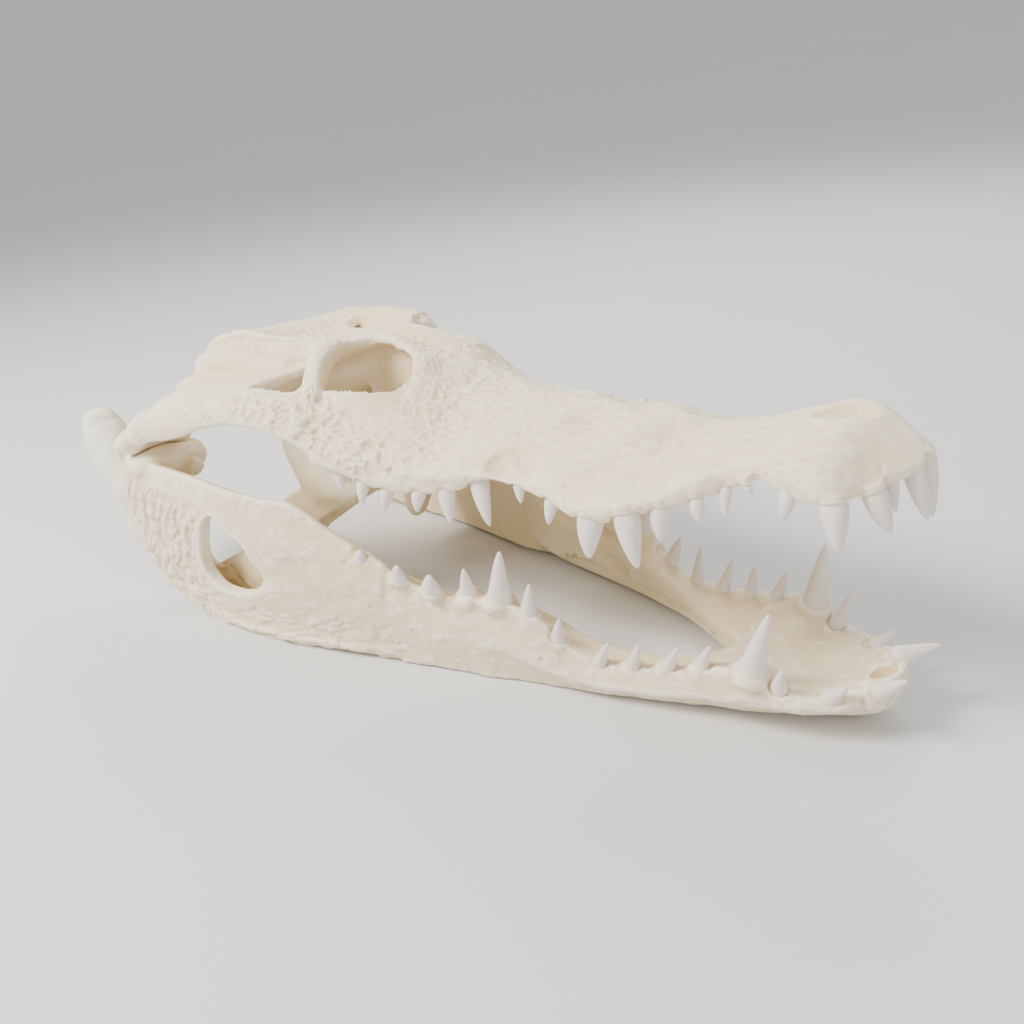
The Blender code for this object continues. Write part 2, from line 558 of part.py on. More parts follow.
def lower_jaw_shapes():
    """One half of the lower jaw and its mirror image, in the jaw frame."""
    dentary = loft(fine_rings(DENTARY_ROWS, dentary_ring))
    wall = loft(fine_rings(WALL_ROWS, wall_ring))
    wall = carved(wall, [prism(JAW_WINDOW, 90, 125, "y")])
    inner_rings = []
    for x, y, low, high in smooth(INNER_WALL, 3):
        t = INNER_WALL_THICKNESS / 2
        inner_rings.append([(x, y - t, low), (x, y + t, low), (x, y + t, high), (x, y - t, high)])
    inner = loft(inner_rings)
    keel = strut([(190, 74, 7, 10, 6), (150, 84, 7, 12, 6), (105, 93, 7, 12, 6), (60, 97, 7, 12, 6),
                  (25, 97, 12, 11, 7), (-6, 92, 22, 12, 8)], (0, 1, 0))
    x, y, z = CONDYLE
    bed = JOINT_HEIGHT + z - 18
    joint = strut([(x, 63, bed - 3, 17, 12), (x, 84, bed, 19, 12), (x - 2, 96, bed + 1, 18, 11)],
                  (1, 0, 0))
    knob = strut([(x + 6, 72, bed - 8, 9, 8), (x + 17, 71, bed - 8, 7, 6),
                  (x + 23, 70, bed - 4, 5, 4.5)], (0, 0, 1))
    back_lip = strut([(x - 17, 66, bed + 6, 6, 9), (x - 18, 84, bed + 11, 6, 8),
                      (x - 17, 100, bed + 12, 6, 8)], (1, 0, 0))
    body = strut([(x, 88, 86, 16, 19), (x - 2, 88, 60, 15, 22), (x + 4, 90, 38, 12, 22)], (0, 1, 0))
    spur = strut([(x - 10, 88, 62, 16, 18), (x - 33, 88, 78, 17, 16), (x - 55, 87, 97, 17, 15.5),
                  (x - 67, 84, 111, 15.5, 14), (x - 70, 83, 118, 13, 10)], (0, 1, 0))
    strut_low = strut([(0, 95, 24, 12, 9), (x - 12, 94, 42, 14, 10), (x - 32, 91, 62, 15, 11),
                       (x - 50, 88, 84, 15, 11)], (0, 1, 0))
    return both([dentary, wall, inner, keel, joint, knob, back_lip, body, spur, strut_low])


def tooth_rings(gum, tip, radius, spread=0.0, sides=TOOTH_SIDES):
    """Rings of a tooth from the end of its root to just short of its tip."""
    gum, tip = np.array(gum, float), np.array(tip, float)
    axis = tip - gum
    length = np.linalg.norm(axis)
    axis /= length
    u = np.cross(axis, (0.0, 1.0, 0.0))
    u /= np.linalg.norm(u)
    v = np.cross(axis, u)
    curve = v * (0.05 * length) * (1 if v[1] > 0 else -1)
    stations = ((-ROOT_DEPTH, 0.78, 0.0), (0.0, 1.0, 0.0), (0.5 * length, 0.66, 1.0),
                (0.93 * length, 0.16, 0.2))
    rings = []
    for along, scale, bend in stations:
        centre = gum + axis * along + curve * bend
        r = radius * scale + spread
        angles = np.linspace(0, 2 * math.pi, sides, endpoint=False)
        rings.append([centre + r * (math.cos(a) * u + math.sin(a) * v) for a in angles])
    return rings


def tooth_shape(gum, tip, radius):
    """A whole tooth: root, crown and pointed tip."""
    shape = loft(tooth_rings(gum, tip, radius))
    shape.points[-1] = tip
    return shape


def socket_shape(gum, tip, radius):
    """Room for a root, open at the gum."""
    root, neck, *_ = tooth_rings(gum, tip, radius, SOCKET_GAP)
    root, neck = np.array(root), np.array(neck)
    axis = (neck.mean(axis=0) - root.mean(axis=0)) / ROOT_DEPTH
    clear = axis * 0.45 * np.linalg.norm(np.subtract(tip, gum))
    return loft([root - axis * SOCKET_GAP, neck, neck + clear])


def skull_placement():
    """Moves the skull frame to the scene: pitched up about the joint and raised above the floor."""
    lift = Matrix.Translation(Vector((-CENTRE_X, 0, JOINT_HEIGHT)) * MM)
    return lift @ Matrix.Rotation(-GAPE_PITCH, 4, "Y")


def jaw_placement():
    """Moves the jaw frame to the scene."""
    return Matrix.Translation(Vector((-CENTRE_X, 0, 0)) * MM)


def material(name, colour, roughness):
    """A plain Principled material."""
    mat = bpy.data.materials.new(name)
    mat.use_nodes = True
    shader = mat.node_tree.nodes["Principled BSDF"]
    shader.inputs["Base Color"].default_value = (*colour, 1.0)
    shader.inputs["Roughness"].default_value = roughness
    shader.inputs["Metallic"].default_value = 0.0
    return mat


def cutter(name, shapes, placement):
    """A hidden object that only cuts others."""
    obj = object_of(name, shapes)
    obj.data.transform(placement)
    obj.hide_render = True
    obj.display_type = "WIRE"
    return obj


def bone_object(name, shapes, placement, voxel, face_count, tools, mat):
    """One grown bone: shapes fused by a remesh, evened, thinned to flat faces, then cut."""
    obj = object_of(name, shapes)
    obj.data.transform(placement)
    fuse = obj.modifiers.new("fuse", "REMESH")
    fuse.mode = "VOXEL"
    fuse.voxel_size = voxel * MM
    even = obj.modifiers.new("even", "SMOOTH")
    even.factor = 0.5
    even.iterations = 3
    depsgraph = bpy.context.evaluated_depsgraph_get()
    fused = bpy.data.meshes.new_from_object(obj.evaluated_get(depsgraph))
    obj.modifiers.clear()
    obj.data = fused
    thin = obj.modifiers.new("thin", "DECIMATE")
    thin.ratio = min(1.0, face_count / (2.0 * len(fused.polygons)))
    for tool in tools:
        cut = obj.modifiers.new(tool.name, "BOOLEAN")
        cut.object = tool
        cut.operation = "DIFFERENCE"
        cut.solver = "EXACT"
    obj.data.materials.clear()
    obj.data.materials.append(mat)
    return obj


def add_teeth(rows, jaw, placement, mat):
    """Every tooth of one jaw as its own object, on both sides; returns their sockets."""
    sockets = []
    for side, flip in (("left", False), ("right", True)):
        for name, gx, gy, gz, tx, ty, tz, radius in rows:
            gum, tip = (gx, gy, gz), (tx, ty, tz)
            if not flip:
                gum, tip = LEFT_GUMS.get(name, gum), LEFT_TIPS.get(name, tip)
            tooth = tooth_shape(gum, tip, radius)
            socket = socket_shape(gum, tip, radius)
            if flip:
                tooth, socket = tooth.mirrored(), socket.mirrored()
            obj = object_of(f"tooth_{jaw}_{side}_{name}", [tooth])
            obj.data.transform(placement)
            obj.data.materials.append(mat)
            sockets.append(socket)
    return sockets


def main():
    """Build the skull."""
    for obj in list(bpy.data.objects):
        bpy.data.objects.remove(obj, do_unlink=True)
    bone = material("bone", BONE, 0.6)
    enamel = material("tooth", ENAMEL, 0.35)
    skull, jaw = skull_placement(), jaw_placement()
    upper_sockets = cutter("upper_sockets", add_teeth(UPPER_TEETH, "upper", skull, enamel), skull)
    lower_sockets = cutter("lower_sockets", add_teeth(LOWER_TEETH, "lower", jaw, enamel), jaw)
    bone_object("cranium", cranium_shapes(), skull, CRANIUM_VOXEL, CRANIUM_FACES,
                [upper_sockets], bone)
    floor = prism(((-200, -200), (600, -200), (600, 200), (-200, 200)), -30, 0)
    floor_cut = cutter("floor_cut", [floor], jaw)
    x, y, z = CONDYLE
    seat = strut([(x + 1, 60, z - 3, 9.8, 9.8), (x, 76, z - 0.5, 8.8, 8.8), (x, 90, z + 1, 8.8, 8.8),
                  (x - 1, 106, z + 1.5, 10.2, 10.2)], (0, 0, 1), sides=20)
    seats = cutter("joint_seats", both([seat]), skull)
    bone_object("lower_jaw", lower_jaw_shapes(), jaw, JAW_VOXEL, JAW_FACES,
                [floor_cut, seats, lower_sockets], bone)


main()
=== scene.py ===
"""Looks of the nile crocodile skull: two grown bones and sixty-eight teeth in their sockets.

Lengths in the tables are millimetres, in two frames that both have x ahead of the jaw joint and y
to the animal's left. Skull tables have z above the joint, and the cranium is then pitched up. Jaw
tables have z above the surface that the skull lies on. Halves are modelled on the animal's left
and mirrored.
"""

import json
import logging
import math
from collections.abc import Sequence
from dataclasses import dataclass, field
from enum import Enum

import bpy
import numpy as np
from mathutils import Matrix, Vector, noise
from mathutils.bvhtree import BVHTree
from mathutils.kdtree import KDTree

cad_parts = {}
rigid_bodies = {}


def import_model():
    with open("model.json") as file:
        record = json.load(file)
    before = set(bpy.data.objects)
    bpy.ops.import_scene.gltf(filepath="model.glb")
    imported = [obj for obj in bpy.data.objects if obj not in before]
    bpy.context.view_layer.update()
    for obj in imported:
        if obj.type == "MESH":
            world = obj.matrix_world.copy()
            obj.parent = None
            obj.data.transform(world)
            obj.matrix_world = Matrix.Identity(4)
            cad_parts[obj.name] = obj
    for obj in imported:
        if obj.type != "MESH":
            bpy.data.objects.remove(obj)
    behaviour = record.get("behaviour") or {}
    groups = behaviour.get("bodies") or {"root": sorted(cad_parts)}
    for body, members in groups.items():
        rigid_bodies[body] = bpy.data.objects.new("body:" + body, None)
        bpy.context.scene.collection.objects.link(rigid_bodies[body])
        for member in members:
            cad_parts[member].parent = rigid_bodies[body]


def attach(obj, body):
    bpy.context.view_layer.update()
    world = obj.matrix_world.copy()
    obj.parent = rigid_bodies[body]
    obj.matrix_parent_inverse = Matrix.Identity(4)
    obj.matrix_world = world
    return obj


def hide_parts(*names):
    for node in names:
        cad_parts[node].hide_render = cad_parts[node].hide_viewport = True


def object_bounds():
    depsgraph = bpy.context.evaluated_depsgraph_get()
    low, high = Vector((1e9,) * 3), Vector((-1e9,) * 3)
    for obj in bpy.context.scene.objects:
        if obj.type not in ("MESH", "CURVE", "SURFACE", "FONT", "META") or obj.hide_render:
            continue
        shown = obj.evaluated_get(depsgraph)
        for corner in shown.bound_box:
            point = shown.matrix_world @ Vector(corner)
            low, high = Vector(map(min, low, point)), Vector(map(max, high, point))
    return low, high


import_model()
cad_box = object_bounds()

LOG = logging.getLogger("skull")
MM = 0.001

JOINT_HEIGHT = 114.3  # skull frame origin above the floor
GAPE_PITCH = math.radians(5.2)  # nose-up pitch of the cranium
CENTRE_X = 187.6  # middle of the overall length, moved to x = 0
CONDYLE = (-13.0, 83.0, 3.0)  # centre of the jaw joint in the skull frame
CONDYLE_RADIUS = 9.0

CARVE_VOXEL = 1.7
BONE_VOXEL = 1.2
BONE_TRIANGLES = 192000
PATTERN_SEED = 7  # seed of the noise, so that every run gives the same patterns
HOLLOW_ROUNDS = 7  # rounds of averaging that a vertex is compared with, to find hollows
SKY_RAYS = 18  # rays cast from a vertex to see how sheltered it is
SKY_REACH = 0.12  # their length, in metres
SKY_EVERY = 14  # one vertex in this many is measured

Point = tuple[float, float, float]
Colour = tuple[float, float, float]
Row = tuple[float, ...]

AHEAD, SIDEWAYS, UPWARD = (1, 0, 0), (0, 1, 0), (0, 0, 1)
VECTOR, COLOUR, FLOAT = "NodeSocketVector", "NodeSocketColor", "NodeSocketFloat"


class BoneFrame(Enum):
    """The two frames that the tables are written in."""

    SKULL = "skull"
    JAW = "jaw"

    def placement(self) -> Matrix:
        """Where the frame lies.

        Returns:
            The matrix from this frame, in metres, to the scene.
        """
        if self is BoneFrame.JAW:
            return Matrix.Translation(Vector((-CENTRE_X, 0, 0)) * MM)
        lift = Matrix.Translation(Vector((-CENTRE_X, 0, JOINT_HEIGHT)) * MM)
        return lift @ Matrix.Rotation(-GAPE_PITCH, 4, "Y")


class Side(Enum):
    """The two sides of the animal, by the sign of y."""

    LEFT = 1
    RIGHT = -1


def smooth(knots: Sequence[Sequence[float]], steps: int) -> np.ndarray:
    """Points along a Catmull-Rom curve.

    Args:
        knots: the points that the curve passes through.
        steps: steps between neighbouring knots.

    Returns:
        The points, one row each.
    """
    knots = np.asarray(knots, float)
    padded = np.vstack([2 * knots[0] - knots[1], knots, 2 * knots[-1] - knots[-2]])
    points = []
    for i in range(1, len(padded) - 2):
        a, b, c, d = padded[i - 1 : i + 3]
        for t in np.arange(steps) / steps:
            points.append(
                0.5 * (2 * b + (c - a) * t + (2 * a - 5 * b + 4 * c - d) * t**2
                       + (3 * b - a - 3 * c + d) * t**3)
            )
    points.append(knots[-1])
    return np.array(points)


def smooth_rows(rows: Sequence, along: int, across: int) -> np.ndarray:
    """A grid of points through rows of points.

    Args:
        rows: rows of equal length, each a list of points.
        along: steps between neighbouring rows.
        across: steps between neighbouring points of a row.

    Returns:
        An array of rows, points and coordinates.
    """
    fine = np.array([smooth(row, across) for row in np.asarray(rows, float)])
    columns = [smooth(fine[:, j], along) for j in range(fine.shape[1])]
    return np.array(columns).transpose(1, 0, 2)


def closed(outline: Sequence[Sequence[float]], steps: int) -> np.ndarray:
    """Points along a closed curve through an outline."""
    return smooth([*outline, outline[0]], steps)[:-1]


def circle(count: int) -> list[tuple[float, float]]:
    """Cosine and sine of evenly spaced angles."""
    return [(math.cos(a), math.sin(a)) for a in np.linspace(0, 2 * math.pi, count, endpoint=False)]


def fetch(items: bpy.types.bpy_prop_collection, key: str, width: int = 3, kind: type = float) -> np.ndarray:
    """Reads one property of each item.

    Args:
        items: a mesh's vertices, edges or vertex normals.
        key: the property.
        width: how many numbers it holds.
        kind: the type of the numbers.

    Returns:
        The values, one row each.
    """
    values = np.empty(len(items) * width, kind)
    items.foreach_get(key, values)
    return values.reshape(-1, width)


def ramp(value: np.ndarray, low: float, high: float) -> np.ndarray:
    """Rises smoothly from 0 at `low` to 1 at `high`; falls where high is below low."""
    t = np.clip((value - low) / (high - low), 0.0, 1.0)
    return t * t * (3.0 - 2.0 * t)


def band(value: np.ndarray, low: float, high: float, soft: float) -> np.ndarray:
    """1 between two values, with soft edges outside them."""
    return ramp(value, low - soft, low) * ramp(value, high + soft, high)


@dataclass
class Solid:
    """A closed set of points, in millimetres, and faces."""

    points: np.ndarray
    faces: list[tuple[int, ...]]

    def mirrored(self) -> "Solid":
        """The same solid on the other side of the animal."""
        return Solid(self.points * np.array([1.0, -1.0, 1.0]), [face[::-1] for face in self.faces])

    def outward(self) -> "Solid":
        """Turns the faces outward.

        Returns:
            The same solid, or one with every face reversed.
        """
        volume = 0.0
        for face in self.faces:
            a = self.points[face[0]]
            for j in range(1, len(face) - 1):
                volume += np.dot(a, np.cross(self.points[face[j]], self.points[face[j + 1]]))
        return self if volume > 0 else Solid(self.points, [face[::-1] for face in self.faces])


def loft(rings: Sequence) -> Solid:
    """A closed solid through rings of equal length.

    Args:
        rings: the sections in order, each a list of points.

    Returns:
        The solid, capped at both ends.
    """
    rings = [np.asarray(ring, float) for ring in rings]
    count = len(rings[0])
    points = np.vstack(rings)
    faces = []
    for i in range(len(rings) - 1):
        for j in range(count):
            k = (j + 1) % count
            faces.append((i * count + j, i * count + k, (i + 1) * count + k, (i + 1) * count + j))
    first = len(points)
    points = np.vstack([points, rings[0].mean(axis=0), rings[-1].mean(axis=0)])
    last = (len(rings) - 1) * count
    for j in range(count):
        k = (j + 1) % count
        faces.append((first, k, j))
        faces.append((first + 1, last + j, last + k))
    return Solid(points, faces).outward()


def strut(path: Sequence[Row], side: Point, sides: int = 20, steps: int = 5) -> Solid:
    """A rounded bar of bone.

    Args:
        path: rows of x, y, z, half width towards `side` and half thickness across it.
        side: the direction of the width.
        sides: points round each section.
        steps: sections between neighbouring rows.

    Returns:
        The bar, with rounded ends.
    """
    rows = smooth(path, steps)
    centres, widths, depths = rows[:, :3], rows[:, 3], rows[:, 4]
    tangents = np.gradient(centres, axis=0)
    tangents /= np.linalg.norm(tangents, axis=1)[:, None]
    towards = np.asarray(side, float)
    stations = [(0, -0.92, 0.25), (0, -0.75, 0.6), (0, -0.4, 0.87)]
    stations += [(i, 0.0, 1.0) for i in range(len(rows))]
    stations += [(len(rows) - 1, ahead, scale) for ahead, scale in ((0.4, 0.87), (0.75, 0.6), (0.92, 0.25))]
    rings = []
    for i, ahead, scale in stations:
        tangent = tangents[i]
        u = towards - towards.dot(tangent) * tangent
        u /= np.linalg.norm(u)
        v = np.cross(tangent, u)
        centre = centres[i] + tangent * ahead * min(widths[i], depths[i])
        rings.append([centre + scale * (widths[i] * c * u + depths[i] * s * v) for c, s in circle(sides)])
    return loft(rings)


def ball(centre: Point, radii: Point, tilt: float = 0.0, rings: int = 14, sides: int = 22) -> Solid:
    """An ellipsoid, used as a swelling or as a hollow.

    Args:
        centre: its middle.
        radii: its half sizes along x, y and z.
        tilt: its turn about y, in radians.
        rings: rows of faces from pole to pole.
        sides: faces round it.

    Returns:
        The ellipsoid.
    """
    sections = []
    for i in range(1, rings):
        across, up = math.sin(math.pi * i / rings), math.cos(math.pi * i / rings)
        sections.append([(across * c, across * s, up) for c, s in circle(sides)])
    solid = loft(sections)
    solid.points[-2:] = ((0, 0, 1), (0, 0, -1))
    turn = np.array(Matrix.Rotation(tilt, 3, "Y"))
    return Solid((solid.points * np.array(radii)) @ turn.T + np.array(centre), solid.faces)


def prism(outline: Sequence[Sequence[float]], low: float, high: float, axis: str = "z") -> Solid:
    """A straight solid over a plan outline (axis z) or a side outline (axis y).

    Args:
        outline: pairs of x and y, or of x and z.
        low: the level where it starts.
        high: the level where it ends.
        axis: the direction that it runs in.

    Returns:
        The solid.
    """
    if axis == "z":
        return loft([[(x, y, level) for x, y in outline] for level in (low, high)])
    return loft([[(x, level, z) for x, z in outline] for level in (low, high)])


def plate(outline: Sequence[Point], wall: float) -> Solid:
    """A sheet of even thickness inside an outline of points in space."""
    outer = closed(outline, 4)
    return loft([outer, outer - np.array([0.0, wall, 0.0])])


def shell(rows: Sequence, wall: float, along: int, across: int) -> Solid:
    """A wall of even thickness under a skin of points.

    Args:
        rows: rows of points on the outer skin.
        wall: thickness of the wall.
        along: steps between rows.
        across: steps between points of a row.

    Returns:
        The closed wall.
    """
    skin = smooth_rows(rows, along, across)
    normal = np.cross(np.gradient(skin, axis=0), np.gradient(skin, axis=1))
    normal /= np.linalg.norm(normal, axis=2)[:, :, None]
    turn = 1.0 if normal[len(skin) // 2, 0, 2] > 0 else -1.0
    inside = skin - turn * wall * normal
    return loft([np.vstack([outer, inner[::-1]]) for outer, inner in zip(skin, inside)])


def both(solids: Sequence[Solid]) -> list[Solid]:
    """Each solid and its mirror image."""
    return [*solids, *(solid.mirrored() for solid in solids)]


class Bench:
    """Operations on Blender objects, each on one object at a time."""

    @staticmethod
    def pick(obj: bpy.types.Object) -> None:
        """Makes one object the only selected and active one.

        Args:
            obj: the object.
        """
        bpy.ops.object.select_all(action="DESELECT")
        obj.select_set(True)
        bpy.context.view_layer.objects.active = obj

    @staticmethod
    def lay(name: str, solids: Sequence[Solid]) -> bpy.types.Object:
        """Puts solids in the scene as one object.

        Args:
            name: the object's name.
            solids: what its mesh holds.

        Returns:
            The object, in metres.
        """
        points, faces, base = [], [], 0
        for solid in solids:
            points.append(solid.points * MM)
            faces += [tuple(base + i for i in face) for face in solid.faces]
            base += len(solid.points)
        mesh = bpy.data.meshes.new(name)
        mesh.from_pydata(np.vstack(points).tolist(), [], faces)
        mesh.update()
        obj = bpy.data.objects.new(name, mesh)
        bpy.context.scene.collection.objects.link(obj)
        return obj

    @staticmethod
    def apply(obj: bpy.types.Object, kind: str, **settings: object) -> None:
        """Adds a modifier with its settings and applies it.

        Args:
            obj: the object that it changes.
            kind: the modifier's type.
            **settings: the modifier's properties.
        """
        Bench.pick(obj)
        modifier = obj.modifiers.new(kind.lower(), kind)
        for key, value in settings.items():
            setattr(modifier, key, value)
        bpy.ops.object.modifier_apply(modifier=modifier.name)

    @staticmethod
    def carve(solid: Solid, cutters: Sequence[Solid]) -> Solid:
        """Takes hollows out of a solid.

        Args:
            solid: what is cut; it is evened out first.
            cutters: the hollows.

        Returns:
            What is left.
        """
        body = Bench.lay("carving", [solid])
        Bench.apply(body, "REMESH", mode="VOXEL", voxel_size=CARVE_VOXEL * MM)
        for cutter in cutters:
            tool = Bench.lay("cutter", [cutter])
            Bench.apply(body, "BOOLEAN", operation="DIFFERENCE", object=tool)
            bpy.data.objects.remove(tool, do_unlink=True)
        faces = [tuple(polygon.vertices) for polygon in body.data.polygons]
        left = Solid(fetch(body.data.vertices, "co") / MM, faces)
        bpy.data.objects.remove(body, do_unlink=True)
        return left


@dataclass(frozen=True)
class ToothSpec:
    """One tooth of the left side: its place in its bone's frame and its size, in millimetres."""

    name: str
    gum: Point
    tip: Point
    radius: float
    own_node: bool = True

    def axis(self) -> np.ndarray:
        """Unit vector from the gum to the tip."""
        reach = np.subtract(self.tip, self.gum)
        return reach / np.linalg.norm(reach)

    def length(self) -> float:
        """Height of the crown."""
        return float(np.linalg.norm(np.subtract(self.tip, self.gum)))

    def on_left(self) -> "ToothSpec":
        """The same tooth as it stands on the left side."""
        gum, tip = LEFT_GUMS.get(self.name, self.gum), LEFT_TIPS.get(self.name, self.tip)
        return ToothSpec(self.name, gum, tip, self.radius, self.own_node)

    def collar(self) -> Solid:
        """Models the swelling of bone round the root.

        Returns:
            The swelling, in the bone's frame.
        """
        gum, axis, r = np.array(self.gum, float), self.axis(), self.radius
        across = np.cross(axis, (0.0, 1.0, 0.0))
        across /= np.linalg.norm(across)
        other = np.cross(axis, across)
        return loft([
            [gum + axis * along + (r + wide) * (c * across + s * other) for c, s in circle(16)]
            for along, wide in self.flare()
        ])

    def flare(self) -> tuple[tuple[float, float], ...]:
        """Sizes of the swelling, which is tallest at the lower teeth and lowest at the small rear ones.

        Returns:
            Heights along the tooth and how far the swelling stands out there.
        """
        if self.name in ("d13", "d14", "d15"):
            return (-4.0, 1.0), (0.0, 1.8), (1.5, 0.8), (2.5, 0.0)
        if self.name.startswith("d"):
            return (-5.0, 2.6), (-2.5, 3.4), (0.0, 2.5), (2.2, 1.2), (4.4, 0.2)
        return (-5.5, 0.4), (-3.0, 1.2), (-0.4, 0.7)


def tooth(name: str, gx: float, gy: float, gz: float, tx: float, ty: float, tz: float,
          radius: float, own_node: bool = True) -> ToothSpec:
    """A tooth from its gum's place, its tip's place and its radius."""
    return ToothSpec(name, (gx, gy, gz), (tx, ty, tz), radius, own_node)


UPPER_TEETH = (
    tooth("p1", 460, 7, -21, 464.5, 7, -42, 4.8),
    tooth("p2", 453, 15, -21, 454.5, 15, -36, 3.4),
    tooth("p3", 450, 25, -24, 456, 25, -41.5, 5.8),
    tooth("p4", 438.0, 38, -25, 440.5, 42, -45, 6.4),
    tooth("p5", 417.5, 37, -22, 415, 40, -34, 4.0),
    tooth("m1", 399, 37, -20, 400, 37, -23, 2.2, False),
    tooth("m2", 387, 36.5, -22, 388, 41, -34, 3.4),
    tooth("m3", 376, 44, -26, 378, 46, -36, 4.2),
    tooth("m4", 361, 52, -28, 361.5, 55, -43.5, 5.2),
    tooth("m5", 346.5, 58, -30, 351, 62, -55.5, 7.0),
    tooth("m6", 327, 60, -32, 325.5, 65, -52, 7.2),
    tooth("m7", 305, 60, -25, 303, 64, -37, 4.0),
    tooth("m8", 283.5, 57, -17, 286, 62, -28, 3.9),
    tooth("m9", 256.5, 58.5, -18.5, 264, 65, -42, 5.8),
    tooth("m10", 237.5, 65, -23.5, 240, 69, -41, 5.3),
    tooth("m11", 222, 70, -23, 221, 74, -34, 4.7),
    tooth("m12", 202, 74, -21, 200, 79, -34, 4.6),
    tooth("m13", 188, 78, -17, 186, 82, -30, 4.3),
    tooth("m14", 170.5, 79, -12, 173.5, 82, -22.6, 4.4, False),
)
LOWER_TEETH = (
    tooth("d1", 449, 14.5, 25, 465, 18, 40, 4.9),
    tooth("d2", 432, 26, 23, 443, 31, 37, 4.3),
    tooth("d3", 410.5, 34, 27, 415.5, 40, 43, 4.0),
    tooth("d4", 397, 36, 33, 408, 37, 69.5, 6.8),
    tooth("d5", 371, 38.5, 29, 379, 42, 46, 3.8),
    tooth("d6", 353, 41.5, 24, 363, 45, 42, 3.8),
    tooth("d7", 334, 45.5, 21, 342.5, 49, 39.5, 3.9),
    tooth("d8", 315, 48.5, 18.5, 325.5, 52, 37, 4.0),
    tooth("d9", 292.5, 53, 29, 298, 56, 46, 4.4),
    tooth("d10", 277, 56, 43, 282, 58, 64, 5.0),
    tooth("d11", 259, 58, 47, 266, 60, 81, 7.6),
    tooth("d12", 240, 62, 48, 242, 65, 67, 5.8),
    tooth("d13", 220.5, 71.5, 51, 223, 73.5, 62, 5.6, False),
    tooth("d14", 198.8, 75, 55, 201, 76.5, 64.5, 4.6, False),
    tooth("d15", 174.5, 80, 64, 177.5, 81, 71, 4.2, False),
)
# Crowns of the left side that stand taller or lean otherwise than those of the right
LEFT_TIPS: dict[str, Point] = {
    "d1": (468, 18, 39.6),
    "d2": (442.5, 30, 33),
    "d4": (402, 38, 69.6),
    "d6": (358.5, 45, 43.5),
    "d7": (342.5, 49, 42.4),
    "d8": (320, 52, 44.5),
    "d9": (304.6, 56, 45),
    "p1": (461.5, 7, -47.5),
}
LEFT_GUMS: dict[str, Point] = {
    "d1": (452, 10, 33),
    "d2": (435, 25, 25),
    "d5": (374, 38, 30),
    "d6": (356.5, 41, 25),
    "d7": (337.5, 45, 22),
    "d8": (318.5, 48, 19),
    "d9": (299.5, 53, 29.5),
}


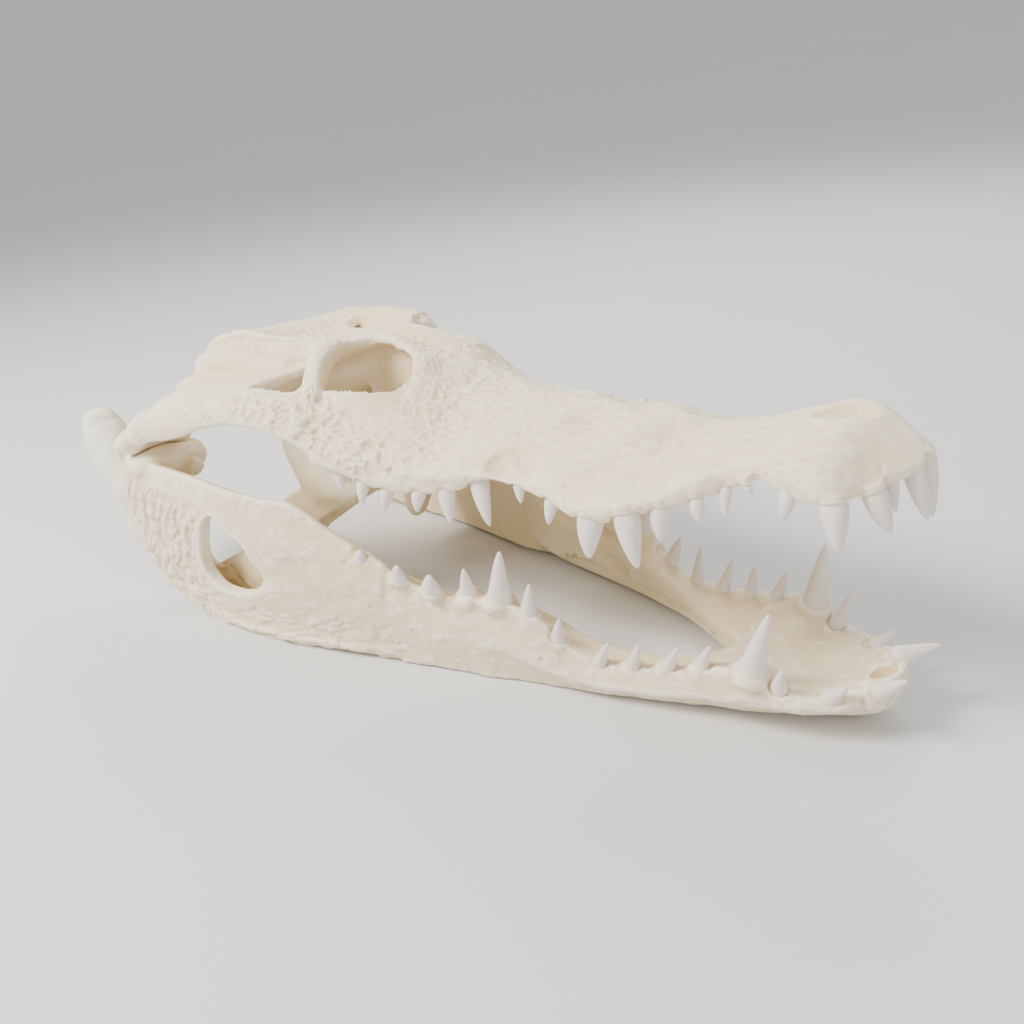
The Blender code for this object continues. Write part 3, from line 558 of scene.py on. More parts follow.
class Relief:
    """Surface relief of one bone: displacements in millimetres along the normals."""

    def __init__(self, points: np.ndarray, normals: np.ndarray) -> None:
        """Starts with a level surface.

        Args:
            points: vertices in the bone's own frame, in millimetres.
            normals: their unit normals in the same frame.
        """
        self.points = points
        self.normals = normals
        self.height = np.zeros(len(points))
        self.side = np.where(points[:, 1] < 0, -1.0, 1.0)
        self.x = points[:, 0]
        self.y = np.abs(points[:, 1])
        self.z = points[:, 2]
        self.out = normals[:, 1] * self.side
        self.up = normals[:, 2]

    def where(self, mask: np.ndarray) -> np.ndarray:
        """Indices of the vertices that a mask reaches."""
        return np.nonzero(mask > 0.01)[0]

    def stretched(self, index: np.ndarray, size: Point, shift: float, bend: float) -> list[Vector]:
        """Points scaled for a pattern and shaken by a slow noise, so that it never repeats.

        Args:
            index: the vertices.
            size: the pattern's size along x, y and z, in millimetres.
            shift: moves the pattern, so that each use has its own.
            bend: how far the slow noise moves it, in cells.

        Returns:
            One vector for each vertex.
        """
        slow = [Vector(p) for p in self.points[index] / 16.0 + shift]
        shake = np.array([noise.noise_vector(p) for p in slow]) * bend
        return [Vector(p) for p in self.points[index] / np.array(size) + shake + shift]

    def cells(self, mask: np.ndarray, size: Point, depth: float, shift: float, wall: float = 0.34) -> None:
        """Rounded pits with thin walls between them.

        Args:
            mask: how strong the pits are at each vertex.
            size: size of a pit along x, y and z.
            depth: depth of a pit.
            shift: moves the pattern.
            wall: share of a pit that its slopes take.
        """
        index = self.where(mask)
        places = self.stretched(index, size, shift, 0.5)
        found = [noise.voronoi(p)[0] for p in places]
        gap = np.array([distances[1] - distances[0] for distances in found])
        uneven = np.array([0.85 + 0.6 * noise.noise(p * 0.3) for p in places])
        self.height[index] -= depth * uneven * mask[index] * ramp(gap, 0.01, wall)

    def pores(self, mask: np.ndarray, size: float, radius: float, depth: float, shift: float) -> None:
        """Small separate holes, for vessels and nerves.

        Args:
            mask: how strong they are at each vertex.
            size: distance between holes.
            radius: radius of a hole, as a share of that distance.
            depth: depth of a hole.
            shift: moves the pattern.
        """
        index = self.where(mask)
        found = [noise.voronoi(p)[0][0] for p in self.stretched(index, (size, size, size), shift, 0.3)]
        self.height[index] -= depth * mask[index] * ramp(np.array(found), radius, 0.3 * radius)

    def ridges(self, mask: np.ndarray, size: Point, depth: float, shift: float, sharp: float = 1.0) -> None:
        """Branching grooves between rounded ridges.

        Args:
            mask: how strong they are at each vertex.
            size: spacing along x, y and z; the long way of the grooves has the largest.
            depth: depth of the grooves.
            shift: moves the pattern.
            sharp: above 1 narrows the grooves.
        """
        index = self.where(mask)
        value = np.array([noise.noise(p) for p in self.stretched(index, size, shift, 0.8)])
        groove = np.clip(1.0 - np.abs(value) * 3.2, 0.0, 1.0) ** sharp
        self.height[index] -= depth * mask[index] * groove

    def around(self, mask: np.ndarray, centre: tuple[float, float], size: tuple[float, float],
               height: float, shift: float) -> None:
        """Long lumps with grooves between them, laid in rings round a centre.

        Args:
            mask: how strong they are at each vertex.
            centre: x and z of the centre.
            size: length of a lump along the ring, and its width.
            height: height of a lump.
            shift: moves the pattern.
        """
        index = self.where(mask)
        dx, dz = self.x[index] - centre[0], self.z[index] - centre[1]
        radius, angle = np.hypot(dx, dz), np.arctan2(dz, -dx)
        flat = np.column_stack([angle * 45.0 / size[0], radius / size[1], self.side[index] * 9.0]) + shift
        shake = np.array([noise.noise_vector(Vector(p)) for p in self.points[index] / 13.0 + shift]) * 0.7
        found = [noise.voronoi(Vector(p))[0] for p in flat + shake]
        gap = np.array([distances[1] - distances[0] for distances in found])
        self.height[index] += height * mask[index] * (ramp(gap, 0.0, 0.5) - 0.6)

    def lumps(self, mask: np.ndarray, size: Point, height: float, shift: float) -> None:
        """Low swellings and hollows.

        Args:
            mask: how strong they are at each vertex.
            size: their size along x, y and z.
            height: height of a swelling.
            shift: moves the pattern.
        """
        index = self.where(mask)
        value = np.array([noise.fractal(p, 1.0, 2.0, 3) for p in self.stretched(index, size, shift, 0.3)])
        self.height[index] += height * mask[index] * value

    def swell(self, centre: Point, radii: Point, height: float, mask: np.ndarray | float = 1.0) -> None:
        """A round swelling, or a hollow where the height is below zero, on both sides.

        Args:
            centre: its middle, on the left side.
            radii: its size along x, y and z.
            height: height in the middle.
            mask: how strong it is at each vertex.
        """
        near = ((self.x - centre[0]) / radii[0]) ** 2 + ((self.y - centre[1]) / radii[1]) ** 2
        near += ((self.z - centre[2]) / radii[2]) ** 2
        self.height += height * np.exp(-near) * mask

    def necks(self, teeth: Sequence[ToothSpec]) -> None:
        """A crease in the bone round each tooth.

        Args:
            teeth: the teeth of the left side.
        """
        folded = np.column_stack([self.x, self.y, self.z])
        for spec in teeth:
            offset = folded - np.array(spec.gum)
            along = offset @ spec.axis()
            away = np.linalg.norm(offset - along[:, None] * spec.axis(), axis=1)
            crease = ramp(away, spec.radius + 1.8, spec.radius + 0.4) * band(along, -3.5, 6.0, 2.0)
            self.height -= 1.3 * crease


@dataclass
class Bone:
    """A grown bone: solids fused into one surface, then given its relief and its tints."""

    name: str = "bone"
    home: BoneFrame = BoneFrame.SKULL
    triangles: int = BONE_TRIANGLES
    teeth: tuple[ToothSpec, ...] = ()

    def solids(self) -> list[Solid]:
        """The main forms of the bone."""
        raise NotImplementedError

    def sculpt(self, relief: Relief) -> None:
        """Adds the bone's surface relief."""
        raise NotImplementedError

    def softness(self, relief: Relief) -> np.ndarray:
        """Where the joined forms are smoothed further, from 0 to 1."""
        return np.zeros(len(relief.x))

    def inner_shade(self, relief: Relief) -> np.ndarray:
        """Where the painted shade of the inner faces falls, a darker and yellower tint, from 0 to 1."""
        return np.zeros(len(relief.x))

    def coolness(self, relief: Relief) -> np.ndarray:
        """How bluish each vertex is, from 0 to 1."""
        return np.zeros(len(relief.x))

    def soften(self, obj: bpy.types.Object) -> None:
        """Smooths the bone's soft parts, through a vertex group that is then removed.

        Args:
            obj: the bone, in the scene's frame.
        """
        weights = self.softness(Relief(*self.local_surface(obj)))
        group = obj.vertex_groups.new(name="soft")
        for step in range(1, 5):
            chosen = np.nonzero(np.round(weights * 4) == step)[0]
            group.add(chosen.tolist(), step / 4.0, "REPLACE")
        Bench.apply(obj, "SMOOTH", factor=0.5, iterations=22, vertex_group="soft")
        obj.vertex_groups.clear()

    def local_surface(self, obj: bpy.types.Object) -> tuple[np.ndarray, np.ndarray]:
        """Vertices and normals in the bone's own frame.

        Args:
            obj: the bone in the scene's frame.

        Returns:
            Points in millimetres and unit normals.
        """
        back = np.array(self.home.placement().inverted())
        points = fetch(obj.data.vertices, "co") @ back[:3, :3].T + back[:3, 3]
        return points / MM, fetch(obj.data.vertex_normals, "vector") @ back[:3, :3].T

    def build(self) -> bpy.types.Object:
        """Models the bone.

        Returns:
            The finished object, with its place in its mesh.
        """
        obj = Bench.lay(self.name, self.solids())
        obj.data.transform(self.home.placement())
        Bench.apply(obj, "REMESH", mode="VOXEL", voxel_size=BONE_VOXEL * MM)
        Bench.apply(obj, "SMOOTH", factor=0.5, iterations=4)
        self.soften(obj)
        points, normals = self.local_surface(obj)
        LOG.info("%s: %d vertices before relief", self.name, len(points))
        relief = Relief(points, normals)
        self.sculpt(relief)
        moved = (points + normals * relief.height[:, None]) * MM
        there = np.array(self.home.placement())
        low, high = (np.array(corner) for corner in cad_box)
        moved = np.clip(moved @ there[:3, :3].T + there[:3, 3], low, high)
        obj.data.vertices.foreach_set("co", moved.ravel())
        obj.data.update()
        faces = 2 * len(obj.data.polygons)
        Bench.apply(obj, "DECIMATE", ratio=min(1.0, self.triangles / faces), use_collapse_triangulate=True)
        Bench.pick(obj)
        bpy.ops.object.shade_smooth()
        self.tint(obj)
        LOG.info("%s: %d triangles", self.name, len(obj.data.polygons))
        return obj

    def tint(self, obj: bpy.types.Object) -> None:
        """Stores how hollow, sheltered, inward-facing and cool each vertex is, for the material: painted
        shade in hollows and sheltered places, a darker yellower painted shade on inner faces, painted light
        on ridges, and a bluish tone on cool places.

        Args:
            obj: the finished bone.
        """
        points, normals = self.local_surface(obj)
        pairs = fetch(obj.data.edges, "vertices", 2, int)
        degree = np.bincount(pairs.ravel(), minlength=len(points))[:, None]
        mean = points.copy()
        for _ in range(HOLLOW_ROUNDS):
            total = np.zeros_like(mean)
            for axis in range(3):
                for here, there in ((0, 1), (1, 0)):
                    total[:, axis] += np.bincount(pairs[:, here], mean[pairs[:, there], axis], len(points))
            mean = 0.5 * mean + 0.5 * total / np.maximum(degree, 1)
        hollow = np.einsum("ij,ij->i", mean - points, normals)
        relief = Relief(points, normals)
        # painted shade in hollows and painted light on ridges both follow this mask
        self.store(obj, "hollow", np.clip(0.5 + 1.1 * hollow, 0.0, 1.0))
        # painted shade: the material darkens and yellows the places where this mask says little of the sky
        # is seen
        self.store(obj, "shelter", self.sheltered(obj))
        # painted shade: darker and yellower on faces turned down, towards the midline or into openings
        self.store(obj, "inner", self.inner_shade(relief))
        self.store(obj, "cool", self.coolness(relief))

    def sheltered(self, obj: bpy.types.Object) -> np.ndarray:
        """How much of the sky each vertex doesn't see.

        Args:
            obj: the finished bone.

        Returns:
            0 in the open to 1 in a closed place, for each vertex.
        """
        points, normals = fetch(obj.data.vertices, "co"), fetch(obj.data.vertex_normals, "vector")
        count = len(points)
        tree = BVHTree.FromObject(obj, bpy.context.evaluated_depsgraph_get())
        golden = math.pi * (3.0 - math.sqrt(5.0))
        sphere = []
        for i in range(SKY_RAYS):
            z = 1.0 - (2.0 * i + 1.0) / SKY_RAYS
            r = math.sqrt(1.0 - z * z)
            sphere.append((r * math.cos(golden * i), r * math.sin(golden * i), z))
        chosen = np.arange(0, count, SKY_EVERY)
        places = KDTree(len(chosen))
        values = np.empty(len(chosen))
        for n, i in enumerate(chosen):
            normal = Vector(normals[i])
            start = Vector(points[i]) + normal * 0.002
            blocked = 0.0
            for direction in sphere:
                ray = Vector(direction) + normal
                if ray.length < 1e-4:
                    continue
                distance = tree.ray_cast(start, ray.normalized(), SKY_REACH)[3]
                if distance is not None:
                    blocked += 1.0 - 0.6 * distance / SKY_REACH
            values[n] = blocked / SKY_RAYS
            places.insert(Vector(points[i]), n)
        places.balance()
        result = np.empty(count)
        for i in range(count):
            near = places.find_n(Vector(points[i]), 3)
            weights = [1.0 / (distance + 0.0006) for _, _, distance in near]
            result[i] = sum(w * values[n] for w, (_, n, _) in zip(weights, near)) / sum(weights)
        return np.clip(result, 0.0, 1.0)

    @staticmethod
    def store(obj: bpy.types.Object, name: str, values: np.ndarray) -> None:
        """Writes one number for each vertex under a name that materials read."""
        layer = obj.data.attributes.new(name, "FLOAT", "POINT")
        layer.data.foreach_set("value", values.astype(np.float32))


@dataclass
class Cranium(Bone):
    """The upper skull: snout, vault, table, braincase, quadrates and palate."""

    name: str = "cranium_bone"
    home: BoneFrame = BoneFrame.SKULL
    teeth: tuple[ToothSpec, ...] = UPPER_TEETH

    # x, then (y, z) at midline, roof, shoulder, side, lower side and gum edge
    snout_rows: tuple = (
        (466.0, (0, -14.5), (1.5, -14.8), (3, -15.3), (4, -16), (4.5, -17), (4.5, -18.5)),
        (463.0, (0, -10.5), (4, -11), (7, -12.5), (9, -14.5), (10, -16), (10, -19)),
        (457.5, (0, -5.5), (6, -7), (11, -10.5), (15, -13.5), (17.5, -16), (17.5, -20)),
        (449.0, (0, 0), (10, -2), (18, -7.5), (25, -12.5), (29, -17), (29, -21)),
        (439.0, (0, 5), (14, 3), (27, -3.5), (36, -10), (41, -16), (41, -23)),
        (428.0, (0, 5), (15, 4.5), (28, -0.5), (38, -7.5), (43, -14), (42, -23)),
        (415.0, (0, 3), (15, 2.5), (27, -1), (35, -6), (39, -12), (39, -21)),
        (402.0, (0, 0.5), (14, -0.5), (24, -3.5), (32, -7), (35, -11), (35, -16)),
        (390.0, (0, -2), (14, -3.5), (25, -7), (34, -10.5), (38, -15), (39, -21)),
        (376.0, (0, -3.5), (15, -6), (30, -10), (42, -13.5), (47, -18), (46, -25)),
        (362.0, (0, -2.5), (18, -7.5), (36, -14), (50, -17.5), (56, -21), (56, -27)),
        (347.0, (0, 2.5), (20, -5), (41, -14.5), (57, -20), (63, -23), (62, -29)),
        (332.0, (0, 2), (20, -2), (42, -12.5), (59, -20), (66, -25), (65, -33)),
        (320.0, (0, 1.5), (20, -1.5), (42, -9), (59, -18.5), (66, -23.5), (65, -31)),
        (304.0, (0, 6.5), (20, 0), (42, -8), (58, -13), (64, -18), (64, -24)),
        (284.0, (0, 8.5), (21, 4), (42, -6), (57, -13.5), (63, -16.5), (62, -19)),
        (266.0, (0, 11.5), (21, 6.5), (42, -0.5), (58, -8.5), (65, -12.5), (64, -15.5)),
        (245.0, (0, 16), (22, 10), (43, 0.5), (61, -7), (70, -13), (68, -22)),
        (225.0, (0, 22), (22, 17), (43, 4.5), (62, -6), (74, -10.5), (74, -23)),
        (208.0, (0, 28), (22, 24.5), (42, 12.5), (63, 0), (78, -7), (78, -22)),
    )
    palate_rise: float = 7.0
    gum_width: float = 15.0
    # From the orbits to the jaw joint: midline, inner rim, outer rim, side, bar and lower edge
    vault_rows: tuple = (
        ((222, 0, 23), (222, 22, 18), (222, 43, 5.5), (222, 62, -5), (222, 75, -10.5), (222, 75, -23)),
        ((205, 0, 31), (205, 22, 29), (205, 40, 19), (205, 62, 3), (205, 79, -6), (205, 79, -22)),
        ((190, 0, 36), (190, 22, 38.5), (190, 42, 27), (190, 66, 9.5), (190, 83, -3), (190, 82, -18)),
        ((168, 0, 42), (168, 17, 46.5), (170, 57, 29.5), (168, 76, 15.5), (168, 87, 5), (168, 87, -6)),
        ((150, 0, 46), (150, 17, 49), (150, 62, 33), (151, 81, 23), (152, 91, 14), (152, 91, 5)),
        ((138, 0, 45), (138, 36, 46), (138, 68, 34), (138, 86, 28), (138, 95, 20), (138, 95, 12)),
        ((112, 0, 43), (112, 40, 40), (112, 78, 37), (112, 93, 33), (112, 101, 26), (112, 100, 19)),
        ((83, 0, 45), (83, 42, 40), (83, 82, 38), (83, 97, 35), (83, 104, 26), (83, 103, 17)),
        ((58, 0, 49), (50, 45, 42), (45, 79, 37), (45, 97, 33), (45, 106, 22), (45, 104, 9)),
        ((54, 0, 48), (36, 48, 48), (26, 77, 35), (20, 97, 29), (8, 107, 20), (2, 105, 5)),
    )
    vault_wall: float = 7.5
    flange_outline: tuple = (
        (123, 79, 6), (115, 74, -9), (112, 69, -23), (105, 65, -33), (80, 62, -44), (69, 58, -58),
        (69, 51, -76), (75, 45, -92), (84, 43, -98), (93, 45, -94), (98, 51, -80), (103, 57, -63),
        (130, 62, -49), (158, 67, -35), (178, 75, -22), (176, 82, -8), (150, 84, 4),
    )
    flange_wall: float = 6.5
    # Plan outlines of the openings in the vault, x and y
    orbit_outline: tuple = (
        (195, 36), (194, 29), (188, 22), (178, 18), (164, 16.5), (150, 17.5), (139, 27), (141, 42),
        (151, 62), (159, 62), (171, 57), (183, 50), (191, 43),
    )
    slit_outline: tuple = ((107, 81), (125, 76), (139, 71), (136, 57), (128, 44), (114, 57))
    # Skull table: x, half width, height of its edge, and how much lower its middle lies
    table_rows: tuple = (
        (152, 16, 50, 3), (143, 26, 51, 4), (134, 37, 52.5, 6), (112, 42, 55.5, 11), (88, 45, 59.5, 11),
        (66, 46, 63.5, 8), (50, 49, 62.5, 6), (38, 50, 60, 5), (28, 50.5, 56, 3), (20, 49, 50, 1),
    )
    table_depth: float = 9.0
    table_back: tuple = (
        (18, -46), (34, -38), (47, -19), (51, 0), (47, 19), (34, 38), (18, 46), (0, 46), (0, -46),
    )
    window_centre: tuple[float, float] = (100.0, 25.0)
    window_radii: tuple[float, float] = (17.0, 11.0)
    # How far the roof's left side stands lower: x, the drop for each mm out from the midline, and
    # the drop beyond the edge of the table
    left_drop: tuple = (
        (-20, 0.0, 0), (10, 0.04, 0), (40, 0.19, 0), (60, 0.19, 0), (82, 0.12, 4), (100, 0.05, 12),
        (124, 0.02, 15), (134, 0.02, 15), (150, 0.03, 14), (165, 0.04, 13), (190, 0.09, 8), (210, 0.12, 3),
        (262, 0.12, 0), (280, 0.06, 0), (302, 0.05, 0), (320, 0.03, 0), (338, 0.12, 5), (352, 0.15, 5),
        (368, 0.04, 1), (380, 0.02, 0), (400, 0.0, 0),
    )
    left_drop_edge: tuple[float, float] = (40.0, 54.0)
    left_drop_reach: float = 60.0

    def drop(self, points: np.ndarray) -> np.ndarray:
        """How far each point of the left side is let down.

        Args:
            points: places in the skull frame before they are let down.

        Returns:
            The drop of each, in millimetres.
        """
        x, y, z = points.T
        places, rates, steps = zip(*self.left_drop)
        sloped = np.interp(x, places, rates) * np.clip(y, 0.0, self.left_drop_reach)
        stepped = np.interp(x, places, steps) * ramp(y, *self.left_drop_edge)
        return (sloped + stepped) * np.clip((z + 30.0) / 40.0, 0.0, 1.0)

    def leaned(self, solid: Solid) -> Solid:
        """The same solid with the upper part of its left side let down."""
        lowered = solid.points - self.drop(solid.points)[:, None] * np.array([0.0, 0.0, 1.0])
        return Solid(lowered, solid.faces)

    def window(self) -> Solid:
        """The upper temporal opening."""
        return ball((*self.window_centre, 53.0), (*self.window_radii, 9.0), rings=18, sides=32)

    def orbit_hollow(self) -> Solid:
        """The room under an orbit's edge, so that the edge is a thin lip of bone.

        Returns:
            The hollow, wider than the edge on its inner side.
        """
        outline = closed(self.orbit_outline, 4)
        inward = ramp(outline[:, 1], 46, 26)
        wide = outline + (outline - outline.mean(axis=0)) * (0.32 * inward - 0.06)[:, None]
        skin = smooth_rows(self.vault_rows, 3, 3).reshape(-1, 3)
        skin = skin[(skin[:, 0] > 125) & (skin[:, 0] < 215) & (skin[:, 1] < 80)]
        rings = []
        for share, sink in ((0.75, 3.2), (1.0, 4.2), (1.0, 8.0)):
            ring = []
            for (x, y), i in zip(outline + (wide - outline) * share, inward):
                near = np.exp(-((skin[:, 0] - x) ** 2 + (skin[:, 1] - y) ** 2) / 30.0)
                ring.append((x, y, np.average(skin[:, 2], weights=near) - sink - 14 * (1 - i)))
            rings.append(ring)
        rings.append([(x, y, -6.0) for x, y in wide])
        return loft(rings)

    def snout(self) -> Solid:
        """Snout with its palate, from the tip to the front of the orbits.

        Returns:
            The snout, both halves, with its hollows.
        """
        rows = [[(x, y, z) for y, z in half] for x, *half in self.snout_rows]
        rings = []
        for row in smooth_rows(rows, 5, 4):
            x, gum_y, gum_z = row[-1]
            ridge = min(self.gum_width, 0.55 * gum_y)
            inner = [
                (x, gum_y - 0.18 * ridge, gum_z - 1.2),
                (x, gum_y - 0.6 * ridge, gum_z - 0.8),
                (x, gum_y - ridge, gum_z + 0.6 * self.palate_rise),
                (x, 0.4 * gum_y, gum_z + self.palate_rise),
            ]
            left = [tuple(point) for point in row] + inner
            middle = (x, 0.0, gum_z + self.palate_rise + 0.5)
            rings.append([*left, middle, *((px, -py, pz) for px, py, pz in reversed(left[1:]))])
        hollows = [
            ball((428.5, 0, 10.5), (20, 14.5, 12.5)),
            ball((440, 0, -24), (7, 6, 9)),
            *both([ball((203, 27, 5), (13, 16, 12)), ball((272.5, 61, -7.5), (9, 11, 6.5))]),
        ]
        return Bench.carve(loft(rings), hollows)

    def vault(self) -> list[Solid]:
        """Roof and cheek walls behind the snout, opened by the orbits and the temporal slits.

        Returns:
            The left half and its mirror image.
        """
        cutters = [
            prism(closed(self.orbit_outline, 4), 6, 80), self.orbit_hollow(),
            prism(closed(self.slit_outline, 2), 8, 80), self.window(),
        ]
        return both([Bench.carve(shell(self.vault_rows, self.vault_wall, 5, 5), cutters)])

    def table(self) -> Solid:
        """Slab over the braincase, dished between its two edges.

        Returns:
            The slab with its openings.
        """
        rings = []
        shares = (0.18, 0.33, 0.48, 0.62, 0.75, 0.87)
        for x, width, top, dip in smooth(self.table_rows, 5):
            dish = [(share * width, top - dip * (1 - share**2)) for share in shares]
            left = [*dish, (width - 1.5, top), (width, top - 3), (width - 2, top - self.table_depth)]
            right = [(-y, z) for y, z in reversed(left)]
            under = (0, top - dip - 0.8 * self.table_depth)
            rings.append([(x, y, z) for y, z in [(0, top - dip), *left, under, *right]])
        return Bench.carve(loft(rings), [*both([self.window()]), prism(self.table_back, 20, 80)])

    def rims(self) -> list[Solid]:
        """The bar behind each orbit, the bone under the table's edges and the orbits' inner wall.

        Returns:
            The inner wall, then the others on both sides.
        """
        septum = [(126, 38), (138, 41), (168, 38), (190, 32), (205, 27), (222, 19), (236, 12), (236, -14),
                  (190, -18), (150, -26), (126, -30)]
        bar = strut([(130, 26, 44, 9, 4), (133, 40, 47, 9, 5), (138, 52, 41, 6, 4.5), (147, 66, 32, 7, 5),
                     (149, 74, 24, 7, 5)], AHEAD)
        wall = strut([(134, 34, 43, 7, 6), (112, 38, 44, 8, 8), (88, 40, 46, 9, 9), (66, 41, 49, 9.5, 9.5),
                      (48, 43, 47, 9, 9), (40, 43, 45, 8, 7)], SIDEWAYS)
        ledge = strut([(214, 40, 2, 12, 6), (196, 30, 0, 12, 5), (176, 20, -2, 12, 5), (156, 12, -4, 12, 5)],
                      SIDEWAYS)
        slope = strut([(104, 47, 40, 6, 5), (80, 50, 42, 8, 7), (58, 52, 44, 9, 9), (40, 54, 45, 9, 9),
                       (28, 55, 42, 8, 8)], SIDEWAYS)
        return [prism(septum, -7, 7, "y"), *both([bar, Bench.carve(wall, [self.window()]), ledge, slope])]

    def braincase(self) -> list[Solid]:
        """Box under the table, its plates, the neck condyle and the knob at the table's left front corner.

        Returns:
            The solids, both halves.
        """
        box = strut([(136, 0, 31, 8, 12), (115, 0, 27, 12, 16), (85, 0, 26, 15, 20), (60, 0, 28, 22, 22)],
                    SIDEWAYS)
        back = strut([(60, 0, 22, 24, 9), (58, 0, -5, 22, 9), (62, 0, -34, 19, 8)], SIDEWAYS)
        body = strut([(70, 0, 6, 14, 20), (100, 0, -8, 12, 18), (128, 0, -18, 12, 10)], SIDEWAYS)
        canal = strut([(30, 0, 29, 8, 6), (62, 0, 29, 8, 6)], SIDEWAYS)
        condyle = ball((43, 0, 12), (11, 10, 9))
        floors = both([ball((92, 27, 35), (22, 16, 8))])
        knob = ball((137, 36, 41), (9, 10, 7.5))
        return [Bench.carve(box, [canal]), Bench.carve(back, [canal]), body, condyle, *floors, knob]

    def quadrate(self) -> list[Solid]:
        """Shaft from the braincase to the jaw joint, and the spool that bears the jaw.

        Returns:
            The solids of the left side.
        """
        x, y, z = CONDYLE
        shaft = strut([(84, 26, 32, 14, 12), (52, 50, 28, 17, 10), (22, 68, 20, 19, 9),
                       (x + 5, y, z + 5, 20, 8)], (0.5, 0.86, 0.1))
        spool = strut([(x + 1, 65, z - 3, 8.5, 8.5), (x, 76, z - 0.5, 7.5, 7.5), (x, 90, z + 1, 7.5, 7.5),
                       (x - 1, 101, z + 1.5, CONDYLE_RADIUS, CONDYLE_RADIUS)], UPWARD)
        wing = strut([(45, 22, 30, 12, 5), (34, 48, 30, 13, 5), (22, 72, 26, 12, 6)], UPWARD)
        hinge_bar = strut([(20, 102, 18, 10, 5), (2, 101, 12, 9, 6), (x + 2, 98, z + 4, 8, 7)], UPWARD)
        web = strut([(80, 24, 14, 9, 4), (48, 46, 15, 9, 4), (14, 66, 11, 7, 4)], UPWARD)
        return [shaft, spool, wing, hinge_bar, web]

    def palate_bones(self) -> list[Solid]:
        """Palatines, pterygoid wings, their hanging pads and the struts to the cheeks.

        Returns:
            The solids, both halves.
        """
        palatines = strut([(222, 0, -16, 15, 7), (185, 0, -18, 14, 6), (150, 0, -25, 17, 5),
                           (124, 0, -34, 20, 6)], SIDEWAYS)
        middle = strut([(130, 0, -32, 18, 6), (106, 0, -42, 22, 6), (84, 0, -50, 20, 5)], SIDEWAYS)
        stem = strut([(66, 0, -28, 16, 8), (86, 0, -44, 16, 6)], SIDEWAYS)
        wing = strut([(107, 4, -42, 24, 5), (102, 26, -48, 19, 4), (93, 46, -60, 12, 4.5)], (1, 0, -0.25))
        flange = plate(self.flange_outline, self.flange_wall)
        shelf = strut([(222, 62, -16, 9, 6), (200, 69, -14, 9, 6), (178, 76, -8, 9, 6),
                       (160, 80, -2, 10, 6)], SIDEWAYS)
        return [palatines, middle, stem, *both([wing, flange, shelf])]

    def solids(self) -> list[Solid]:
        """All the bones of the upper skull.

        Returns:
            The solids, in the skull's frame.
        """
        collars = both([spec.collar() for spec in self.teeth])
        bones = [self.snout(), *self.vault(), self.table(), *self.rims(), *self.braincase(),
                 *both(self.quadrate()), *self.palate_bones()]
        return [*(self.leaned(solid) for solid in bones), *collars]

    def softness(self, relief: Relief) -> np.ndarray:
        """Smooth inside the orbits, under the roof and on the quadrates.

        Args:
            relief: the bone's surface.

        Returns:
            How soft each vertex is, from 0 to 1.
        """
        r = relief
        inside = ramp(r.x, 225, 205) * np.maximum(ramp(r.up, 0.0, -0.4), ramp(r.out, 0.0, -0.4))
        pads = ramp(r.z, -20, -32) * ramp(r.x, 200, 180)
        otic = band(r.x, 20, 122, 5) * band(r.y, 48, 76, 3) * band(r.z, 36, 56, 3)
        corner = band(r.x, 126, 160, 5) * ramp(r.points[:, 1], 30, 36) * ramp(r.z, 24, 30)
        quadrate = ramp(r.x, 70, 50) * ramp(r.z, 44, 34)
        return np.maximum.reduce([inside, pads, otic, corner, quadrate])

    def inner_shade(self, relief: Relief) -> np.ndarray:
        """Painted shade, darker and yellower, on inner faces: under the roof, inside the orbits, the palate,
        the pads and the quadrates.

        Args:
            relief: the bone's surface.

        Returns:
            How strong the darker, yellower painted shade is at each vertex, from 0 to 1.
        """
        r = relief
        under = ramp(r.up, -0.05, -0.5) * ramp(r.y, 70, 60)
        medial = ramp(r.out, -0.05, -0.4)
        deep = np.maximum(ramp(r.z, -28, -38) * ramp(r.x, 200, 180), ramp(r.z, 2, -8) * ramp(r.x, 150, 130))
        otic = 0.5 * band(r.x, 38, 122, 8) * band(r.y, 48, 76, 4) * ramp(r.z, 57, 52)
        orbit = band(r.x, 140, 196, 3) * ramp(r.z, 36, 24) * ramp(r.y, 60, 48)
        naris = ramp(np.hypot((r.x - 428.5) / 19.0, r.y / 13.0), 1.0, 0.9) * ramp(r.z, -12, -6)
        niche = ramp(np.hypot((r.x - 272) / 10.0, (r.z + 10) / 8.5), 1.0, 0.85) * ramp(r.y, 62, 58)
        hidden = np.maximum.reduce([under, medial, deep, otic, orbit, niche * ramp(r.y, 40, 50)])
        return np.clip(np.maximum(hidden * ramp(r.x, 430, 330), naris), 0, 1)

